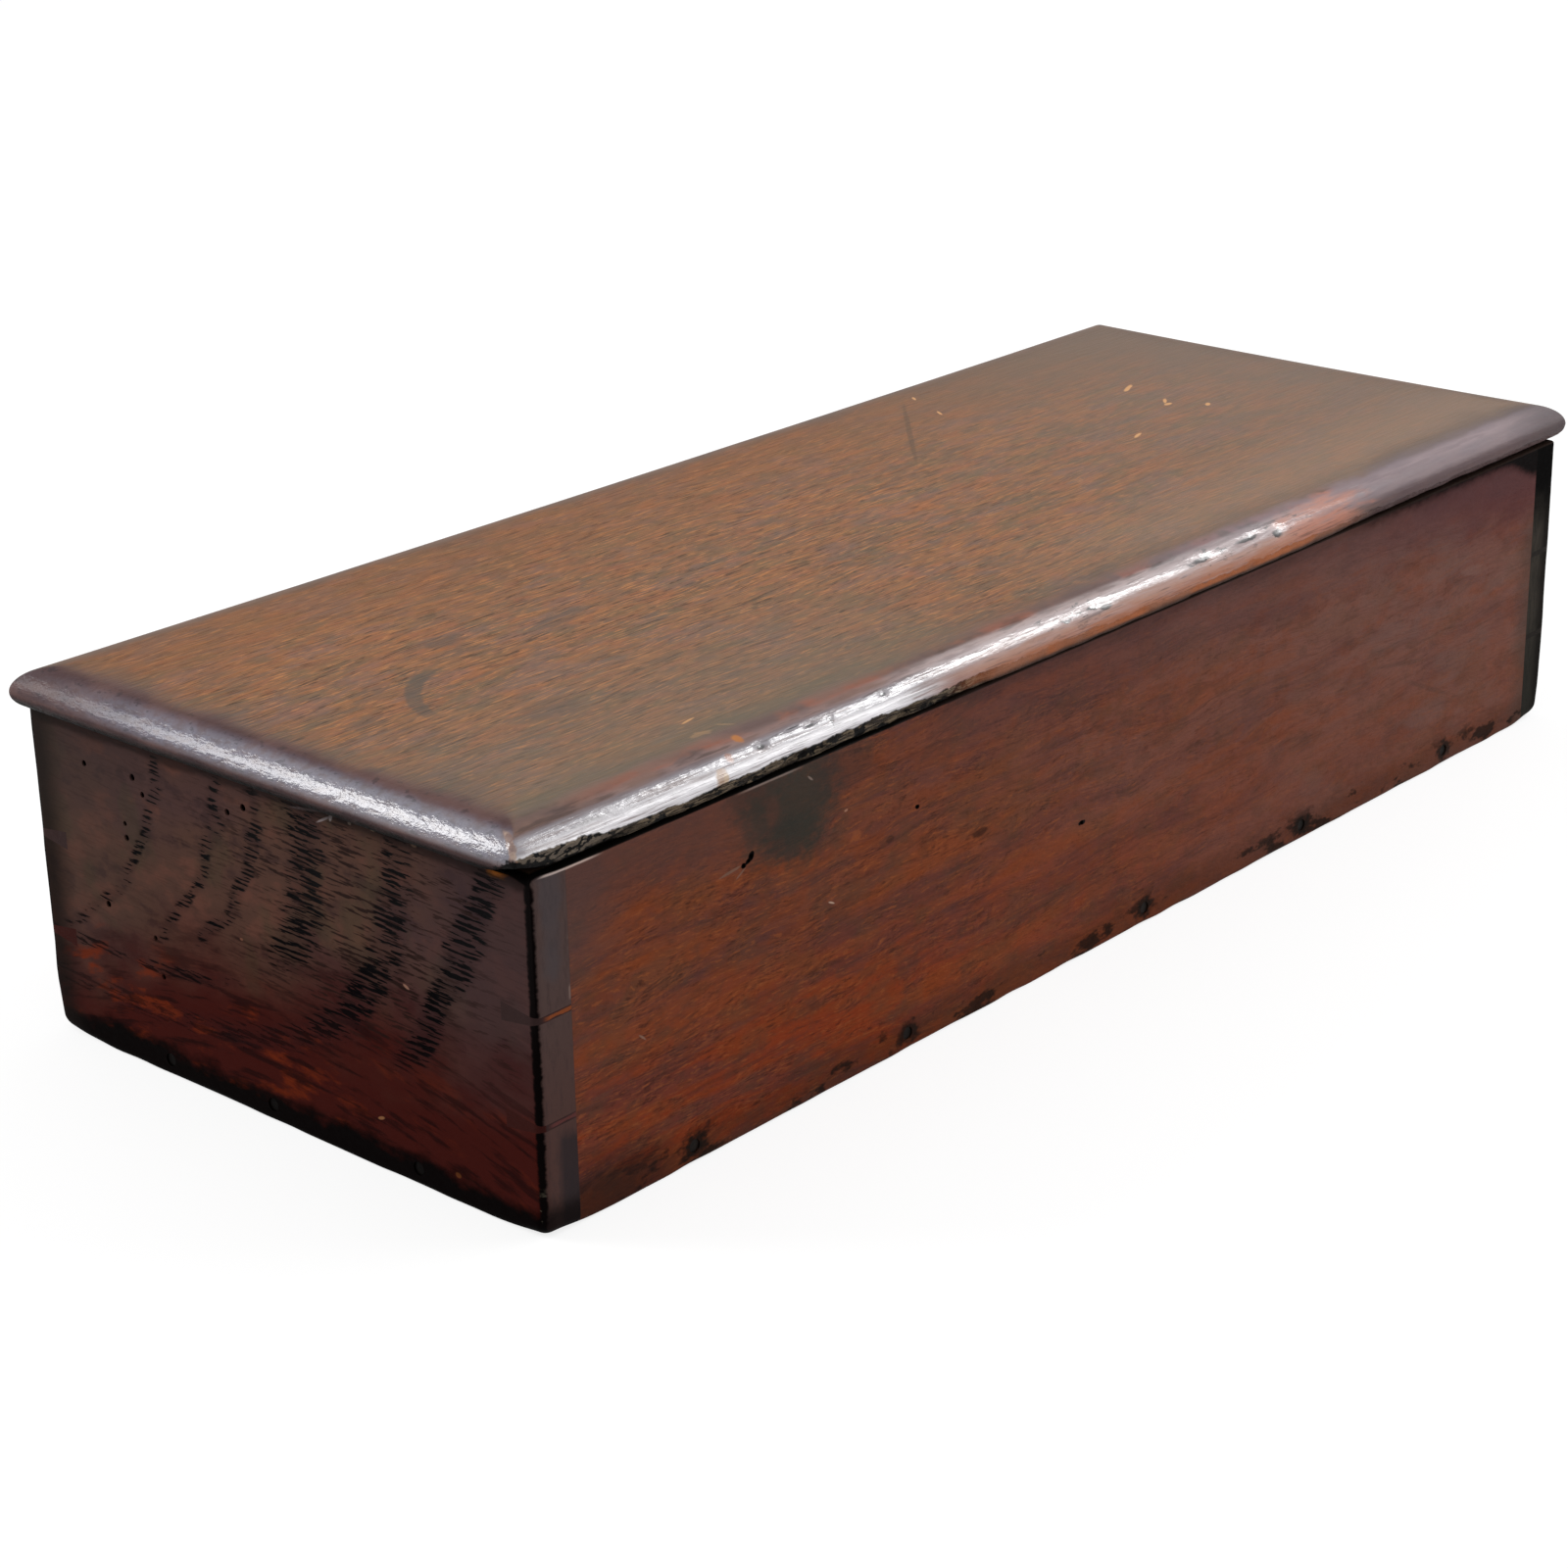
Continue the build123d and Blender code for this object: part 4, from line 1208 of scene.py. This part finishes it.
def bottom_finish():
    """Bare aged wood, darker round the edges."""
    p = Paint("bare_bottom", specular=0.2)
    grain = p.noise((60, 1.6, 6), 61, detail=4, roughness=0.6)
    pore = p.noise((12, 0.5, 4), 62, detail=2)
    cloud = p.noise((40, 30, 20), 63, detail=4)
    colour = p.mix(grain.ramp(0.35, 0.65), (118, 86, 58), (148, 112, 76))
    colour.lay(pore.ramp(0.58, 0.70, 0.6), 70, 50, 36)
    colour.lay(cloud.ramp(0.48, 0.66, 0.5), 92, 70, 52)
    to_wall = p.least(inside_half_length - abs(p.x), inside_half_width - abs(p.y))
    colour.lay((to_wall + (cloud - 0.5) * 14).ramp(12, 0, 0.7), 56, 42, 34)
    colour.lay(p.z.ramp(2, 0.5, 0.55), 60, 48, 40)
    return p.finish(colour, 0.75 + (grain - 0.5) * 0.2, 0.0, grain * 0.6 + pore * 0.4, depth=0.25)


def metal_finish(name, clean, tarnish, metallic, share, specular=0.5):
    """Old metal: tarnish in clouds and specks over the clean tone."""
    p = Paint(name, specular=specular, metallic=metallic)
    cloud = p.noise((5, 5, 5), 71, detail=4, roughness=0.6)
    speck = p.noise((0.7, 0.7, 0.7), 72)
    colour = p.mix(cloud.ramp(share - 0.12, share + 0.12), tarnish, clean)
    colour.lay(speck.ramp(0.56, 0.66, 0.7), tarnish)
    return p.finish(colour, 0.42 + (0.6 - cloud) * 0.5, 0.0, speck * 0.7 + cloud, depth=0.06)


# Pieces that stand for CAD boards

def dress(piece, body, node):
    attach(piece, body)
    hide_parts(node)


def build_body():
    front = long_wall("worn_front_board", -1, long_wall_finish("front_varnish", -1))
    face = -half_width
    holes = [cutter(rods=[((x, face + deep, z), (x, face - 0.5, z), radius * 0.5, radius)])
             for (x, z), _, _, radius, deep in front_holes]
    cut(front, cutter(rods=nail_recesses("front_nails", (0, -1))), *holes)
    dress(front, "body", "front_board")

    back = long_wall("worn_back_board", 1, long_wall_finish("back_varnish", 1))
    cut(back, cutter(rods=nail_recesses("back_nails", (0, 1))),
        *hinge_rooms(height + 1, height - leaf_thickness))
    dress(back, "body", "back_board")

    left = end_wall("worn_left_end", -1, end_wall_finish("left_varnish", -1))
    holes = []
    for number, (y, z) in enumerate(beetle_holes):
        lean_y = math.cos(number * 2.4)
        lean_z = math.sin(number * 2.4)
        radius = beetle_hole_radius + 0.12 * math.sin(number * 1.7)
        holes.append(((-half_length + beetle_hole_depth, y + lean_y, z + lean_z),
                      (-half_length - 0.5, y, z), radius * 0.8, radius))
    cut(left, cutter(rods=nail_recesses("left_end_nails", (-1, 0))),
        *[cutter(rods=[hole]) for hole in holes])
    dress(left, "body", "left_end_board")

    right = end_wall("worn_right_end", 1, end_wall_finish("right_varnish", 1))
    cut(right, cutter(rods=nail_recesses("right_end_nails", (1, 0))))
    dress(right, "body", "right_end_board")


def build_lid():
    points, faces = lid_points_and_faces()
    lid = mesh_piece("moulded_lid", aged(points), faces, lid_finish())
    cut(lid, *hinge_rooms(lid_low.z + leaf_thickness, lid_low.z - 1))
    dress(lid, "lid", "lid_board")


def finish_cad_nodes():
    """Better materials on the CAD nodes that stay."""
    iron = metal_finish("rusted_iron", (26, 19, 16), (12, 9, 7), 0.1, 0.5, specular=0.05)
    black_iron = metal_finish("black_iron", (9, 6, 5), (5, 3, 3), 0.0, 0.5, specular=0.02)
    brass = metal_finish("tarnished_brass", (168, 130, 70), (84, 62, 36), 0.9, 0.48)
    screw_brass = metal_finish("screw_brass", (176, 138, 76), (78, 58, 36), 0.9, 0.52)
    bottom = bottom_finish()
    for name, node in frame["nodes"].items():
        if name == "bottom_board":
            paint = bottom
        elif name.endswith("_end_nails"):
            paint = black_iron
        elif name.endswith("_nails"):
            paint = iron
        elif name.endswith("_screws"):
            paint = screw_brass
        elif "_hinge_" in name:
            paint = brass
        else:
            continue
        node.data.materials.clear()
        node.data.materials.append(paint)


# Stage, light and camera

def plain_shader(tree, kind, **values):
    """A shader node's output, with the given values on its sockets."""
    made = tree.nodes.new(kind)
    for name, value in values.items():
        made.inputs[name].default_value = value
    return made.outputs[0]


def seen_or_lit(tree, seen, lit, output):
    """Shows seen to camera, glossy and transmission rays, and lit to the light on matt surfaces."""
    path = tree.nodes.new("ShaderNodeLightPath")
    total = path.outputs["Is Camera Ray"]
    for name in ("Is Glossy Ray", "Is Transmission Ray"):
        join = tree.nodes.new("ShaderNodeMath")
        join.operation = "MAXIMUM"
        tree.links.new(total, join.inputs[0])
        tree.links.new(path.outputs[name], join.inputs[1])
        total = join.outputs[0]
    pick = tree.nodes.new("ShaderNodeMixShader")
    for socket, value in zip(pick.inputs, (total, lit, seen)):
        tree.links.new(value, socket)
    tree.links.new(pick.outputs[0], tree.nodes.new(output).inputs["Surface"])


def make_floor():
    """A pale floor that keeps the object's soft shadow."""
    material = bpy.data.materials.new("pale_floor")
    material.use_nodes = True
    tree = material.node_tree
    tree.nodes.clear()
    lit = plain_shader(tree, "ShaderNodeBsdfDiffuse", Color=(0.6, 0.6, 0.6, 1))
    shaded = plain_shader(tree, "ShaderNodeBsdfDiffuse", Color=(0.3, 0.3, 0.3, 1))
    glow = plain_shader(tree, "ShaderNodeEmission", Strength=0.78)
    # seen nearly white, with the object's soft shadow on it
    seen = tree.nodes.new("ShaderNodeAddShader")
    tree.links.new(shaded, seen.inputs[0])
    tree.links.new(glow, seen.inputs[1])
    seen_or_lit(tree, seen.outputs[0], lit, "ShaderNodeOutputMaterial")
    mesh = bpy.data.meshes.new("floor")
    far = 9.0
    corners = [(-far, -far, 0), (far, -far, 0), (far, far, 0), (-far, far, 0)]
    mesh.from_pydata(corners, [], [(0, 1, 2, 3)])
    mesh.materials.append(material)
    floor = bpy.data.objects.new("floor", mesh)
    bpy.context.scene.collection.objects.link(floor)


def make_world():
    """White to the eye and in reflections, dimmer as a light."""
    world = bpy.data.worlds.new("studio")
    world.use_nodes = True
    tree = world.node_tree
    tree.nodes.clear()
    white = plain_shader(tree, "ShaderNodeBackground", Color=(1, 1, 1, 1), Strength=1.0)
    dim = plain_shader(tree, "ShaderNodeBackground", Color=(1, 1, 1, 1), Strength=0.55)
    seen_or_lit(tree, white, dim, "ShaderNodeOutputWorld")
    bpy.context.scene.world = world


def soft_light(name, target, azimuth, elevation, distance, radius, radiance):
    """A round lamp seen from target at the given bearing; azimuth turns from +X towards +Y."""
    bearing = math.radians(azimuth)
    tilt = math.radians(elevation)
    level = math.cos(tilt)
    towards = Vector((level * math.cos(bearing), level * math.sin(bearing), math.sin(tilt)))
    light = bpy.data.lights.new(name, "AREA")
    light.shape = "DISK"
    light.size = 2 * radius
    light.energy = radiance * math.pi * math.pi * radius ** 2
    lamp = bpy.data.objects.new(name, light)
    lamp.location = Vector(target) * mm + towards * distance
    lamp.rotation_mode = "QUATERNION"
    lamp.rotation_quaternion = towards.to_track_quat("Z", "Y")
    lamp.visible_camera = False
    bpy.context.scene.collection.objects.link(lamp)


def make_lights():
    front_edge = (-50, -75, 82)
    left_edge = (-190, -20, 82)
    soft_light("right_lamp", front_edge, azimuth=-16, elevation=41, distance=1.8, radius=0.16,
               radiance=23.0)
    soft_light("right_panel", front_edge, azimuth=-37, elevation=22, distance=1.7, radius=0.60,
               radiance=3.0)
    soft_light("left_lamp", left_edge, azimuth=120, elevation=31, distance=1.6, radius=0.42,
               radiance=7.5)


def make_camera():
    azimuth = math.radians(camera_azimuth)
    elevation = math.radians(camera_elevation)
    roll = math.radians(camera_roll)
    ahead = Vector((-math.sin(azimuth) * math.cos(elevation),
                    math.cos(azimuth) * math.cos(elevation), -math.sin(elevation)))
    right = ahead.cross(Vector((0, 0, 1))).normalized()
    up = right.cross(ahead)
    turned_right = right * math.cos(roll) + up * math.sin(roll)
    turned_up = up * math.cos(roll) - right * math.sin(roll)
    data = bpy.data.cameras.new("camera")
    data.lens = camera_lens
    data.sensor_width = camera_sensor
    data.sensor_fit = "HORIZONTAL"
    data.clip_start = 0.05
    data.clip_end = 40
    camera = bpy.data.objects.new("camera", data)
    camera.matrix_world = Matrix.LocRotScale(
        Vector(camera_place) * mm, Matrix((turned_right, turned_up, -ahead)).transposed(), None)
    bpy.context.scene.collection.objects.link(camera)
    bpy.context.scene.camera = camera


make_camera()
build_body()
build_lid()
finish_cad_nodes()
make_floor()
make_world()
make_lights()
bpy.context.scene.view_settings.view_transform = "Standard"
